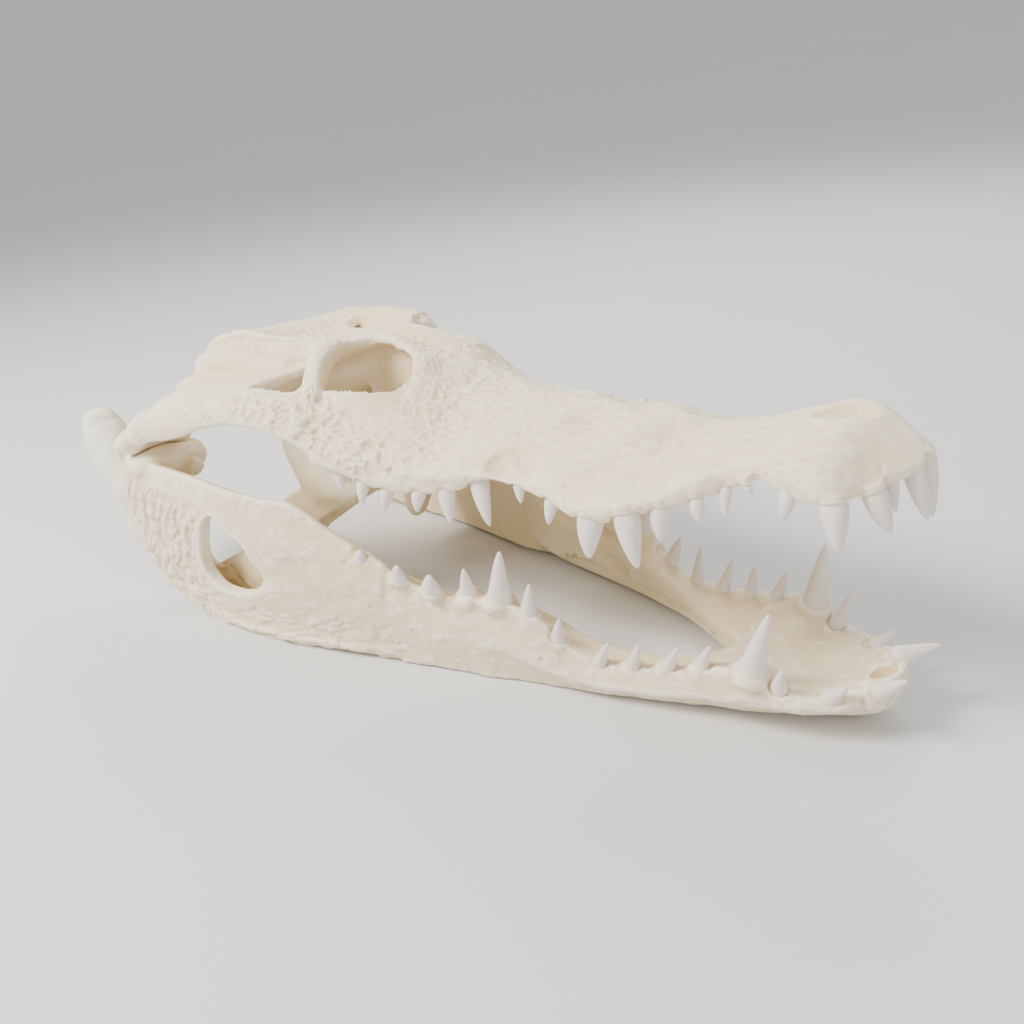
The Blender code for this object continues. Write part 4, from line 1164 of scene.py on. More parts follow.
    def sculpt(self, relief: Relief) -> None:
        """Pits on the cheek and table, wrinkles on the snout, and pores near the teeth.

        Args:
            relief: the bone's surface, which takes the heights.
        """
        r = relief
        r.z = r.z + self.drop(r.points + np.array([0.0, 0.0, 1.0]))
        roof = ramp(r.up, 0.25, 0.6)
        flank = ramp(r.out, 0.1, 0.45) * ramp(r.up, -0.75, -0.3)
        skin = np.clip(roof + flank, 0.0, 1.0)
        behind = ramp(r.x, 232, 205)
        lower_edge = np.interp(r.x, (60, 83, 112, 138, 152, 168, 190), (17, 20, 22, 15, 8, -3, -15))
        cheek = flank * behind * ramp(r.y, 62, 70) * ramp(r.z - lower_edge, 0, 5)
        r.cells(cheek * ramp(r.x, 96, 112), (8.4, 7.2, 7.2), 1.7, 3.1, 0.27)
        r.cells(cheek * ramp(r.x, 96, 112), (4.6, 4.0, 4.0), 0.45, 4.6, 0.3)
        r.cells(cheek * ramp(r.x, 114, 96) * ramp(r.x, 48, 66), (7.0, 5.0, 5.0), 1.2, 6.9, 0.3)
        rear = skin * ramp(r.x, 72, 54) * ramp(r.y, 78, 88) * ramp(r.x, -12, 6)
        r.ridges(rear, (12.0, 5.5, 5.5), 0.4, 8.7)
        lacrimal = skin * band(r.x, 196, 232, 8) * ramp(r.y, 72, 60) * ramp(r.y, 20, 30)
        r.cells(lacrimal, (7.0, 5.5, 5.5), 0.9, 5.3, 0.28)
        table = roof * band(r.x, 40, 140, 6) * ramp(r.y, 52, 48) * ramp(r.z, 44, 48)
        rim = np.hypot((r.x - self.window_centre[0]) / (self.window_radii[0] + 5),
                       (r.y - self.window_centre[1]) / (self.window_radii[1] + 4))
        table = table * ramp(rim, 0.95, 1.1)
        r.cells(table, (6.4, 5.4, 6.0), 1.1, 11.9, 0.3)
        front = roof * band(r.x, 145, 200, 8) * ramp(r.y, 30, 24) * ramp(r.z, 20, 24)
        r.cells(front, (6.5, 4.8, 6.0), 1.0, 14.2, 0.3)
        snout = skin * ramp(r.x, 196, 214)
        top = snout * ramp(r.y + 0.9 * np.maximum(0, r.z * -1.0), 64, 40) * ramp(r.x, 452, 425)
        r.ridges(top, (13.0, 3.0, 3.0), 0.8, 21.3, 0.9)
        r.ridges(top, (24.0, 6.5, 6.5), 0.6, 25.7, 0.9)
        sides = snout * (1.0 - 0.7 * ramp(top, 0.2, 0.8))
        r.lumps(sides * ramp(r.x, 440, 400), (13, 11, 11), 0.8, 31.0)
        r.ridges(sides * ramp(r.x, 300, 240), (10.0, 5.0, 5.0), 0.5, 34.0)
        r.pores(sides * ramp(r.z, -4, -10), 7.5, 0.22, 0.8, 41.7)
        r.pores(cheek, 9.0, 0.12, 0.8, 44.0)
        r.lumps(roof * ramp(r.x, 150, 160), (24, 18, 18), 1.0, 51.0)
        r.swell((336, 57, -15), (12, 9, 10), 1.8, skin)
        r.swell((108, 44, 54), (7, 6, 6), 1.3, roof)
        r.swell((92, 45, 56), (6, 5, 6), 1.1, roof)
        r.swell((196, 24, 35), (10, 9, 9), 2.2, roof)
        r.swell((212, 22, 24), (9, 10, 10), -1.5, roof)
        r.swell((284, 18, 4), (10, 12, 10), 1.5, roof)
        r.swell((303, 18, 0), (10, 12, 10), -2.2, roof)
        r.swell((327, 16, 0), (10, 12, 10), 1.5, roof)
        r.swell((348, 18, -4), (10, 12, 10), -2.4, roof)
        r.swell((66, 60, 46), (20, 8, 9), -1.6)
        r.swell((130, 36, 48), (9, 7, 6), 2.0, roof)
        r.necks(self.teeth)


@dataclass
class LowerJaw(Bone):
    """The lower jaw: both dentaries fused at the front, the deep rear walls, joints and spurs."""

    name: str = "lower_jaw_bone"
    home: BoneFrame = BoneFrame.JAW
    teeth: tuple[ToothSpec, ...] = LOWER_TEETH

    # x, then y and z of the gum edge, the bulge, the keel and the inner lip
    dentary_rows: tuple = (
        (457, 6, 33, 8, 27, 2, 21, -2, 31),
        (453, 13, 33, 15, 25, 5, 13, -2, 31),
        (445, 22, 30, 24, 22, 5, 6, -2, 28),
        (434, 30, 26, 32, 20, 6, 2.5, -2, 25),
        (420, 36, 25, 38, 19, 10, 0.3, -2, 23.5),
        (406, 39, 28, 41, 18, 17, -0.2, -2, 24),
        (397, 42, 35, 43, 18, 22, -0.3, -2, 25.5),
        (386, 42, 34, 44, 16, 26, -0.3, -2, 26.5),
        (374, 42, 31, 46, 15, 29, -0.3, -2, 26),
        (368, 43, 28, 47.5, 15, 31, -0.1, 4, 23),
        (354, 45, 25, 50.5, 13, 36, 0, 14, 19),
        (335, 49, 22, 54, 11, 43, 0.2, 24, 19.5),
        (318, 52, 21, 58, 11, 49, 0.3, 31, 22),
        (300, 55, 27, 62, 13, 54, 0.3, 35, 27),
        (280, 60, 46, 66, 22, 59.5, 0.4, 39, 37),
        (258, 63, 48, 70, 24, 65.5, 0.4, 43, 39),
        (236, 67, 48, 74, 24, 71.5, 0.4, 47, 38),
        (212, 72, 51, 79, 25, 77, 0.6, 51, 41),
        (192, 76, 59, 84, 29, 82, 0.6, 57, 48),
        (178, 79, 68, 88, 33, 85.5, 0.6, 63, 55),
    )
    # Outer wall behind the tooth row: x, top y, top z, bulge y, keel y and keel z
    wall_rows: tuple = (
        (190.0, 77.5, 62, 84, 82, 1.0),
        (178.0, 80, 69, 88, 86, 1.0),
        (165.0, 82.5, 75, 91, 90, 0.8),
        (150.0, 86, 83, 95, 93, 0.5),
        (138.0, 88.5, 91, 98, 96, 0.3),
        (126.0, 91, 96.5, 101, 98, -0.8),
        (105.0, 95.5, 97, 105, 101, -1.4),
        (77.0, 98, 99, 108, 104, -1.6),
        (45.0, 99.5, 102.5, 110, 106, -0.8),
        (15.0, 101, 105, 110, 106, 5.0),
        (-8.0, 101, 105, 109, 104, 13.0),
        (-26.0, 101, 109, 107, 101, 25.0),
        (-36.0, 100, 107, 104, 97, 35.0),
    )
    wall_thickness: float = 9.0
    # Inner wall: x, y, lower z and upper z
    inner_rows: tuple = (
        (185.0, 66, 4, 52), (160.0, 70, 3, 52), (130.0, 77, 2, 48), (100.0, 82, 2, 48), (70.0, 85, 2, 49),
        (50.0, 85, 3, 41), (36.0, 85, 4, 34), (20.0, 83, 8, 27), (4.0, 80, 14, 36), (-10.0, 77, 20, 60),
    )
    inner_thickness: float = 6.5
    window_outline: tuple = (
        (63, 80), (70, 80), (84, 72), (95, 65), (98, 57), (105, 51), (106, 44), (97, 36), (82, 31),
        (65, 31), (55, 37), (51, 46), (53, 61), (58, 75),
    )

    @staticmethod
    def dentary_ring(x: float, gum_y: float, gum_z: float, bulge_y: float, bulge_z: float,
                     keel_y: float, keel_z: float, inner_y: float, inner_z: float) -> list[Point]:
        """Section of the tooth-bearing half, from a row of the table.

        Args:
            x: where the section stands.
            gum_y: the gum edge, across.
            gum_z: the gum edge, up.
            bulge_y: the widest place, across.
            bulge_z: the widest place, up.
            keel_y: the lowest place, across.
            keel_z: the lowest place, up.
            inner_y: the inner face, across.
            inner_z: the inner lip, up.

        Returns:
            The points of the section.
        """
        keel_in = 0.5 * (keel_y + inner_y) if inner_y > 0 else inner_y
        rise = inner_z - keel_z
        half = [
            (gum_y, gum_z), (0.4 * gum_y + 0.6 * bulge_y, 0.5 * (gum_z + bulge_z)), (bulge_y, bulge_z),
            (0.56 * bulge_y + 0.44 * keel_y, 0.5 * bulge_z + 0.5 * keel_z), (keel_y, keel_z),
            (keel_in, keel_z + 0.8), (inner_y, keel_z + 0.3 * rise), (inner_y, keel_z + 0.6 * rise),
            (inner_y, inner_z - 2), (inner_y + 0.25 * (gum_y - inner_y), inner_z),
            (inner_y + 0.75 * (gum_y - inner_y), 0.25 * inner_z + 0.75 * gum_z),
        ]
        return [(x, y, z) for y, z in half]

    def wall_ring(self, x: float, top_y: float, top_z: float, bulge_y: float, keel_y: float,
                  keel_z: float) -> list[Point]:
        """Section of the thin outer wall, from a row of the table.

        Args:
            x: where the section stands.
            top_y: its upper edge, across.
            top_z: its upper edge, up.
            bulge_y: its widest place, across.
            keel_y: its lower edge, across.
            keel_z: its lower edge, up.

        Returns:
            The points of the section.
        """
        mid_z, thick = 0.5 * (top_z + keel_z), self.wall_thickness
        high_z, low_z = 0.75 * top_z + 0.25 * keel_z, 0.25 * top_z + 0.75 * keel_z
        section = [
            (top_y, top_z), (bulge_y - 1.5, high_z), (bulge_y, mid_z), (bulge_y - 0.5, low_z),
            (keel_y, keel_z), (keel_y - 1.6 * thick, keel_z + 3), (bulge_y - 0.5 - thick, low_z),
            (bulge_y - thick, mid_z), (bulge_y - 2 - thick, high_z), (top_y - 0.8 * thick, top_z - 3),
        ]
        return [(x, y, z) for y, z in section]

    def walls(self) -> list[Solid]:
        """Dentary, outer wall with its window, and inner wall.

        Returns:
            The solids of the left half.
        """
        dentary = loft([self.dentary_ring(*row) for row in smooth(self.dentary_rows, 6)])
        groove = strut([(352, 19, 9, 2, 2), (320, 31, 9.5, 4, 2.5), (285, 38.5, 11, 5, 2.5),
                        (250, 45.5, 12, 6, 2.5), (215, 53.5, 14, 6, 2)], UPWARD)
        foramen = ball((265, 43, 22), (13, 5, 6.5), 0.2)
        outer = loft([self.wall_ring(*row) for row in smooth(self.wall_rows, 5)])
        window = prism(closed(self.window_outline, 4), 90, 125, "y")
        t = self.inner_thickness / 2
        inner = loft([
            [(x, y - t, low), (x, y + t, low), (x, y + t, high), (x, y - t, high)]
            for x, y, low, high in smooth(self.inner_rows, 5)
        ])
        front_hole = ball((447.5, 0, 28), (6.5, 7, 9))
        return [Bench.carve(dentary, [groove, foramen, front_hole]), Bench.carve(outer, [window]), inner]

    def seat(self) -> Solid:
        """The room for the spool that the quadrate rests on the jaw with.

        Returns:
            The hollow, in the jaw's frame.
        """
        x, _, z = CONDYLE
        room = strut([(x + 1, 60, z - 3, 9.8, 9.8), (x, 76, z - 0.5, 8.8, 8.8), (x, 90, z + 1, 8.8, 8.8),
                      (x - 1, 106, z + 1.5, 10.2, 10.2)], UPWARD)
        move = np.array(BoneFrame.JAW.placement().inverted() @ BoneFrame.SKULL.placement())
        return Solid(room.points @ move[:3, :3].T + move[:3, 3] / MM, room.faces)

    def rear(self) -> list[Solid]:
        """Keel, joint bed with its lips, and the spur behind it.

        Returns:
            The solids of the left half.
        """
        x, _, z = CONDYLE
        bed = JOINT_HEIGHT + z - 18
        keel = strut([(190, 74, 7, 10, 6), (150, 84, 7, 12, 6), (105, 93, 7, 12, 6), (60, 97, 7, 12, 6),
                      (25, 97, 12, 11, 7), (-6, 92, 22, 12, 8)], SIDEWAYS)
        joint = strut([(x, 63, bed - 3, 17, 12), (x, 84, bed, 19, 12), (x - 2, 96, bed + 1, 18, 11)], AHEAD)
        knob = strut([(x + 6, 72, bed - 8, 8, 7), (x + 17, 71, bed - 8, 6, 5),
                      (x + 23, 70, bed - 5, 4.5, 4)], UPWARD)
        back_lip = strut([(x - 17, 66, bed + 6, 6, 9), (x - 18, 84, bed + 11, 6, 8),
                          (x - 17, 100, bed + 12, 6, 8)], AHEAD)
        body = strut([(x, 88, 86, 16, 19), (x - 2, 88, 60, 15, 22), (x + 4, 90, 38, 12, 22)], SIDEWAYS)
        spur = strut([(x - 10, 88, 62, 16, 18), (x - 33, 88, 78, 17, 16), (x - 55, 87, 97, 17, 15.5),
                      (x - 67, 84, 111, 15.5, 14), (x - 70, 83, 118, 13, 10)], SIDEWAYS, 24, 10)
        brace = strut([(0, 95, 24, 12, 9), (x - 12, 94, 42, 14, 10), (x - 32, 91, 62, 15, 11),
                       (x - 50, 88, 84, 15, 11)], SIDEWAYS, 24, 10)
        bedded = [Bench.carve(solid, [self.seat()]) for solid in (joint, back_lip, body)]
        return [keel, knob, spur, brace, *bedded]

    def solids(self) -> list[Solid]:
        """Both halves of the lower jaw."""
        collars = [spec.collar() for spec in self.teeth if spec.name not in ("d2", "d3")]
        return both([*self.walls(), *self.rear(), *collars])

    def softness(self, relief: Relief) -> np.ndarray:
        """Smooth on the spurs and on the inner faces."""
        return np.maximum(ramp(relief.x, -18, -34), ramp(relief.out, -0.1, -0.5) * ramp(relief.x, 330, 300))

    def inner_shade(self, relief: Relief) -> np.ndarray:
        """Painted shade, darker and yellower, on the faces towards the midline and those inside the window.

        Args:
            relief: the bone's surface.

        Returns:
            How strong the darker, yellower painted shade is at each vertex, from 0 to 1.
        """
        r = relief
        medial = ramp(r.out, -0.1, -0.5) * ramp(r.x, 385, 350)
        inside = band(r.x, 0, 185, 6) * ramp(r.y, 93, 89) * ramp(r.z, 88, 78)
        hole = ramp(np.hypot((r.x - 447.5) / 6.5, r.y / 7.0), 1.1, 0.9) * ramp(r.z, 28, 24)
        return np.maximum.reduce([medial, inside * ramp(r.x, 190, 180), hole])

    def coolness(self, relief: Relief) -> np.ndarray:
        """Bluish on the spurs behind the joints."""
        return ramp(relief.x, -22, -48)

    def sculpt(self, relief: Relief) -> None:
        """Deep grooves at the rear, ripples below the teeth, and waves on the spurs.

        Args:
            relief: the bone's surface, which takes the heights.
        """
        r = relief
        places, _, tops, *_ = zip(*reversed(self.wall_rows))
        below = np.interp(r.x, places, tops) - r.z
        flank = ramp(r.out, 0.15, 0.5)
        under = ramp(-r.up, 0.1, 0.5) * ramp(r.out, -0.4, 0.1)
        window = np.hypot((r.x - 76) / 36, (r.z - 52) / 36)
        rear = flank * ramp(r.x, 74, 40) * ramp(r.x, -36, -26) * ramp(below, 13, 21) * ramp(window, 0.8, 1.0)
        r.around(rear, (76, 52), (15.0, 6.5), 2.5, 2.3)
        r.around(rear, (76, 52), (8.0, 4.0), 1.0, 5.2)
        r.lumps(rear, (5, 5, 5), 0.7, 6.1)
        keel = np.clip(flank + under, 0, 1) * band(r.x, 20, 190, 20) * ramp(r.z, 34, 22)
        r.ridges(keel, (22.0, 6.0, 5.0), 1.0, 9.4, 0.8)
        r.lumps(keel, (9, 6, 6), 0.5, 10.2)
        middle = flank * band(r.x, 95, 300, 20)
        r.ridges(middle, (17.0, 9.0, 9.0), 0.4, 12.8)
        r.lumps(flank * ramp(r.x, 60, 110), (22, 16, 16), 1.0, 17.1)
        r.ridges(flank * ramp(r.x, 270, 330), (24.0, 5.0, 4.0), 0.35, 22.2)
        r.pores(flank * ramp(r.x, 130, 190) * ramp(r.z, 6, 12), 11.0, 0.16, 1.2, 27.0)
        r.lumps(ramp(r.up, 0.3, 0.7) * ramp(r.x, 350, 380), (11, 9, 9), 0.7, 33.0)
        r.swell((270, 69, 41), (17, 8, 9), -1.8, flank)
        r.swell((255, 66, 50), (13, 6, 4), 1.0, flank)
        r.lumps(ramp(r.x, -30, -44), (24, 20, 20), 0.7, 38.0)
        r.necks(self.teeth)


class CrownForm(Enum):
    """Sections of a crown: height from gum to tip, radius and lean, as shares of the crown."""

    FANG = ((-0.30, 0.80, 0.02), (0.0, 1.0, 0.0), (0.14, 0.97, 0.05), (0.36, 0.83, 0.13),
            (0.58, 0.64, 0.16), (0.78, 0.42, 0.12), (0.91, 0.23, 0.05), (0.98, 0.09, 0.01))
    CONE = ((-0.30, 0.86, 0.0), (0.0, 1.0, 0.0), (0.13, 0.84, 0.02), (0.3, 0.68, 0.05), (0.5, 0.55, 0.07),
            (0.7, 0.40, 0.06), (0.86, 0.25, 0.03), (0.95, 0.13, 0.01), (0.985, 0.06, 0.0))
    PEG = ((-0.30, 0.86, 0.0), (0.0, 1.0, 0.0), (0.2, 0.92, 0.03), (0.45, 0.74, 0.06),
           (0.68, 0.55, 0.06), (0.85, 0.38, 0.04), (0.95, 0.22, 0.02), (0.99, 0.09, 0.0))


@dataclass
class Dentition:
    """All the crowns of one bone."""

    label: str
    home: BoneFrame
    teeth: tuple[ToothSpec, ...]
    sides: int = 14
    flattening: float = 0.88
    stout_below: float = 2.3  # crown height over radius under which a tooth is a peg
    long_form: CrownForm = CrownForm.FANG
    widening: float = 1.0
    made: list[bpy.types.Object] = field(default_factory=list)

    def master(self, form: CrownForm) -> bpy.types.Object:
        """Models one crown of unit radius and height, tip up and leaning towards -Y.

        Args:
            form: the sections that it passes through.

        Returns:
            The crown, to be copied.
        """
        (start, radius, lean), *rest = form.value
        bpy.ops.object.select_all(action="DESELECT")
        bpy.ops.mesh.primitive_circle_add(vertices=self.sides, radius=radius, fill_type="NGON",
                                          location=(0, lean, start))
        obj = bpy.context.object
        obj.name = f"crown_master_{form.name.lower()}"
        bpy.ops.object.transform_apply(location=True, rotation=True, scale=True)
        bpy.ops.object.mode_set(mode="EDIT")
        bpy.ops.mesh.select_all(action="SELECT")
        before_height, before_radius, before_lean = start, radius, lean
        for height, wide, along in rest:
            bpy.ops.mesh.extrude_region_move(
                TRANSFORM_OT_translate={"value": (0, along - before_lean, height - before_height)})
            share = wide / before_radius
            bpy.ops.transform.resize(value=(share, share, share))
            before_height, before_radius, before_lean = height, wide, along
        bpy.ops.mesh.merge(type="CENTER")
        bpy.ops.mesh.select_all(action="SELECT")
        bpy.ops.mesh.normals_make_consistent(inside=False)
        bpy.ops.transform.resize(value=(1.0, self.flattening, 1.0), center_override=(0, 0, 0))
        bpy.ops.object.mode_set(mode="OBJECT")
        Bench.apply(obj, "SUBSURF", levels=2, render_levels=2)
        self.keel(obj)
        Bench.pick(obj)
        bpy.ops.object.shade_smooth()
        return obj

    @staticmethod
    def keel(obj: bpy.types.Object) -> None:
        """Draws out the two cutting edges, before and behind, and faint flutes between them.

        Args:
            obj: a crown of unit radius and height.
        """
        points = fetch(obj.data.vertices, "co")
        angle = np.arctan2(points[:, 1], points[:, 0])
        edge = np.abs(np.cos(angle)) ** 16
        flute = 0.012 * np.cos(18 * angle)
        points[:, :2] *= (1.0 + ramp(points[:, 2], 0.05, 0.35) * (0.07 * edge + flute))[:, None]
        obj.data.vertices.foreach_set("co", points.ravel())
        obj.data.update()

    def placement(self, spec: ToothSpec, side: Side) -> Matrix:
        """The matrix that puts a unit crown in its place.

        Args:
            spec: the tooth, in its bone's frame.
            side: the side of the animal.

        Returns:
            The matrix to the scene, in metres.
        """
        axis = Vector(spec.axis())
        across = axis.cross(Vector((0, 1, 0))).normalized()
        inward = axis.cross(across)
        if inward.y > 0:
            inward, across = -inward, -across
        turn = Matrix((across, -inward, axis)).transposed()
        wide = spec.radius * self.widening
        scale = Matrix.Diagonal((wide, wide, spec.length()))
        matrix = (turn @ scale).to_4x4()
        matrix.translation = Vector(spec.gum)
        local = Matrix.Scale(MM, 4) @ matrix
        if side is Side.RIGHT:
            local = Matrix.Diagonal((1, -1, 1, 1)) @ local
        return self.home.placement() @ local

    def build(self, masters: dict[CrownForm, bpy.types.Object]) -> list[bpy.types.Object]:
        """Puts every crown in its place.

        Args:
            masters: one unit crown for each form.

        Returns:
            The crowns, each with its own mesh.
        """
        for side in Side:
            for spec in self.teeth:
                if side is Side.LEFT:
                    spec = spec.on_left()
                form = CrownForm.PEG if spec.length() < self.stout_below * spec.radius else self.long_form
                name = f"{self.label}_{side.name.lower()}_{spec.name}_crown"
                crown = bpy.data.objects.new(name, masters[form].data.copy())
                bpy.context.scene.collection.objects.link(crown)
                matrix = self.placement(spec, side)
                crown.data.transform(matrix)
                if matrix.determinant() < 0:
                    crown.data.flip_normals()
                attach(crown, "root")
                if spec.own_node:
                    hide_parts(f"tooth_{self.label}_{side.name.lower()}_{spec.name}")
                self.made.append(crown)
        return self.made


class NodeKit:
    """Shader node groups that the finishes share."""

    @staticmethod
    def group(name: str, inputs: Sequence[tuple[str, str, object]],
              outputs: Sequence[tuple[str, str]]) -> bpy.types.NodeTree:
        """A new group with named sockets.

        Args:
            name: the group's name.
            inputs: name, socket type and default of each input.
            outputs: name and socket type of each output.

        Returns:
            The group, with its input and output nodes.
        """
        tree = bpy.data.node_groups.new(name, "ShaderNodeTree")
        for label, kind, default in inputs:
            socket = tree.interface.new_socket(label, in_out="INPUT", socket_type=kind)
            if default is not None:
                socket.default_value = default
        for label, kind in outputs:
            tree.interface.new_socket(label, in_out="OUTPUT", socket_type=kind)
        tree.nodes.new("NodeGroupInput").name = "in"
        tree.nodes.new("NodeGroupOutput").name = "out"
        return tree

    @staticmethod
    def add(tree: bpy.types.NodeTree, kind: str, links: dict[object, object] | None = None,
            **settings: object) -> bpy.types.Node:
        """A node with its properties, values and links.

        Args:
            tree: the tree that it goes in.
            kind: the node's type.
            links: input name or number to a value or to the socket that feeds it.
            **settings: the node's properties.

        Returns:
            The node.
        """
        node = tree.nodes.new(kind)
        for key, value in settings.items():
            setattr(node, key, value)
        NodeKit.feed(tree, node, links or {})
        return node

    @staticmethod
    def feed(tree: bpy.types.NodeTree, node: bpy.types.Node, links: dict[object, object]) -> None:
        """Sets or links a node's inputs.

        Args:
            tree: the tree that it is in.
            node: the node.
            links: input name or number to a value or to the socket that feeds it.
        """
        for key, value in links.items():
            if isinstance(value, bpy.types.NodeSocket):
                tree.links.new(value, node.inputs[key])
            else:
                node.inputs[key].default_value = value

    @staticmethod
    def use(tree: bpy.types.NodeTree, group: bpy.types.NodeTree,
            links: dict[object, object]) -> bpy.types.Node:
        """Places a shared group in a material with its own values."""
        return NodeKit.add(tree, "ShaderNodeGroup", links, node_tree=group)

    @staticmethod
    def blank(name: str) -> tuple[bpy.types.Material, bpy.types.Node, bpy.types.NodeSocket]:
        """Starts a material.

        Args:
            name: the material's name.

        Returns:
            The material, its shader and its object coordinates.
        """
        mat = bpy.data.materials.new(name)
        mat.use_nodes = True
        place = NodeKit.add(mat.node_tree, "ShaderNodeTexCoord").outputs["Object"]
        return mat, mat.node_tree.nodes["Principled BSDF"], place

    @staticmethod
    def mottle() -> bpy.types.NodeTree:
        """Slow blotches of a second colour over a first.

        Returns:
            The group.
        """
        tree = NodeKit.group(
            "mottle",
            (("Vector", VECTOR, None), ("Colour", COLOUR, (0.8, 0.8, 0.8, 1)),
             ("Stain", COLOUR, (0.6, 0.5, 0.4, 1)), ("Scale", FLOAT, 20.0), ("Amount", FLOAT, 0.5)),
            (("Colour", COLOUR), ("Mask", FLOAT)))
        given = tree.nodes["in"].outputs
        patch = NodeKit.add(tree, "ShaderNodeTexNoise", {
            "Vector": given["Vector"], "Scale": given["Scale"], "Detail": 5.0, "Roughness": 0.62})
        spread = NodeKit.add(tree, "ShaderNodeMapRange", {
            "Value": patch.outputs["Fac"], "From Min": 0.38, "From Max": 0.72, "To Max": given["Amount"]})
        mix = NodeKit.add(tree, "ShaderNodeMix", {
            "Factor": spread.outputs["Result"], "A": given["Colour"], "B": given["Stain"]}, data_type="RGBA")
        NodeKit.feed(tree, tree.nodes["out"], {
            "Colour": mix.outputs["Result"], "Mask": spread.outputs["Result"]})
        return tree

    @staticmethod
    def grain() -> bpy.types.NodeTree:
        """Height of the finest surface: fibres and pinholes.

        Returns:
            The group.
        """
        tree = NodeKit.group(
            "grain",
            (("Vector", VECTOR, None), ("Fibre", FLOAT, 350.0), ("Stretch", FLOAT, 0.3),
             ("Pin Scale", FLOAT, 400.0), ("Pin Depth", FLOAT, 0.4)),
            (("Height", FLOAT),))
        given = tree.nodes["in"].outputs
        parts = NodeKit.add(tree, "ShaderNodeSeparateXYZ", {"Vector": given["Vector"]})
        short = NodeKit.add(tree, "ShaderNodeMath", {0: parts.outputs["X"], 1: given["Stretch"]},
                            operation="MULTIPLY")
        along = NodeKit.add(tree, "ShaderNodeCombineXYZ", {
            "X": short.outputs["Value"], "Y": parts.outputs["Y"], "Z": parts.outputs["Z"]})
        fibre = NodeKit.add(tree, "ShaderNodeTexNoise", {
            "Vector": along.outputs["Vector"], "Scale": given["Fibre"], "Detail": 4.0, "Roughness": 0.6,
            "Distortion": 0.5})
        pins = NodeKit.add(tree, "ShaderNodeTexVoronoi", {
            "Vector": given["Vector"], "Scale": given["Pin Scale"]})
        dip = NodeKit.add(tree, "ShaderNodeMapRange", {
            "Value": pins.outputs["Distance"], "From Min": 0.1, "From Max": 0.3, "To Min": -1.0,
            "To Max": 0.0})
        depth = NodeKit.add(tree, "ShaderNodeMath", {0: dip.outputs["Result"], 1: given["Pin Depth"]},
                            operation="MULTIPLY")
        total = NodeKit.add(tree, "ShaderNodeMath", {0: fibre.outputs["Fac"], 1: depth.outputs["Value"]},
                            operation="ADD")
        NodeKit.feed(tree, tree.nodes["out"], {"Height": total.outputs["Value"]})
        return tree

    @staticmethod
    def mask_tint() -> bpy.types.NodeTree:
        """Tints a colour where a mask is high.

        Returns:
            The group.
        """
        tree = NodeKit.group(
            "mask_tint",
            (("Colour", COLOUR, (0.8, 0.8, 0.8, 1)), ("Tint", COLOUR, (0.6, 0.5, 0.4, 1)),
             ("Mask", FLOAT, 0.0), ("From", FLOAT, 0.5), ("To", FLOAT, 1.0), ("Strength", FLOAT, 0.5)),
            (("Colour", COLOUR),))
        given = tree.nodes["in"].outputs
        reach = NodeKit.add(tree, "ShaderNodeMapRange", {
            "Value": given["Mask"], "From Min": given["From"], "From Max": given["To"],
            "To Max": given["Strength"]}, interpolation_type="SMOOTHSTEP")
        mix = NodeKit.add(tree, "ShaderNodeMix", {
            "Factor": reach.outputs["Result"], "A": given["Colour"], "B": given["Tint"]}, data_type="RGBA")
        NodeKit.feed(tree, tree.nodes["out"], {"Colour": mix.outputs["Result"]})
        return tree


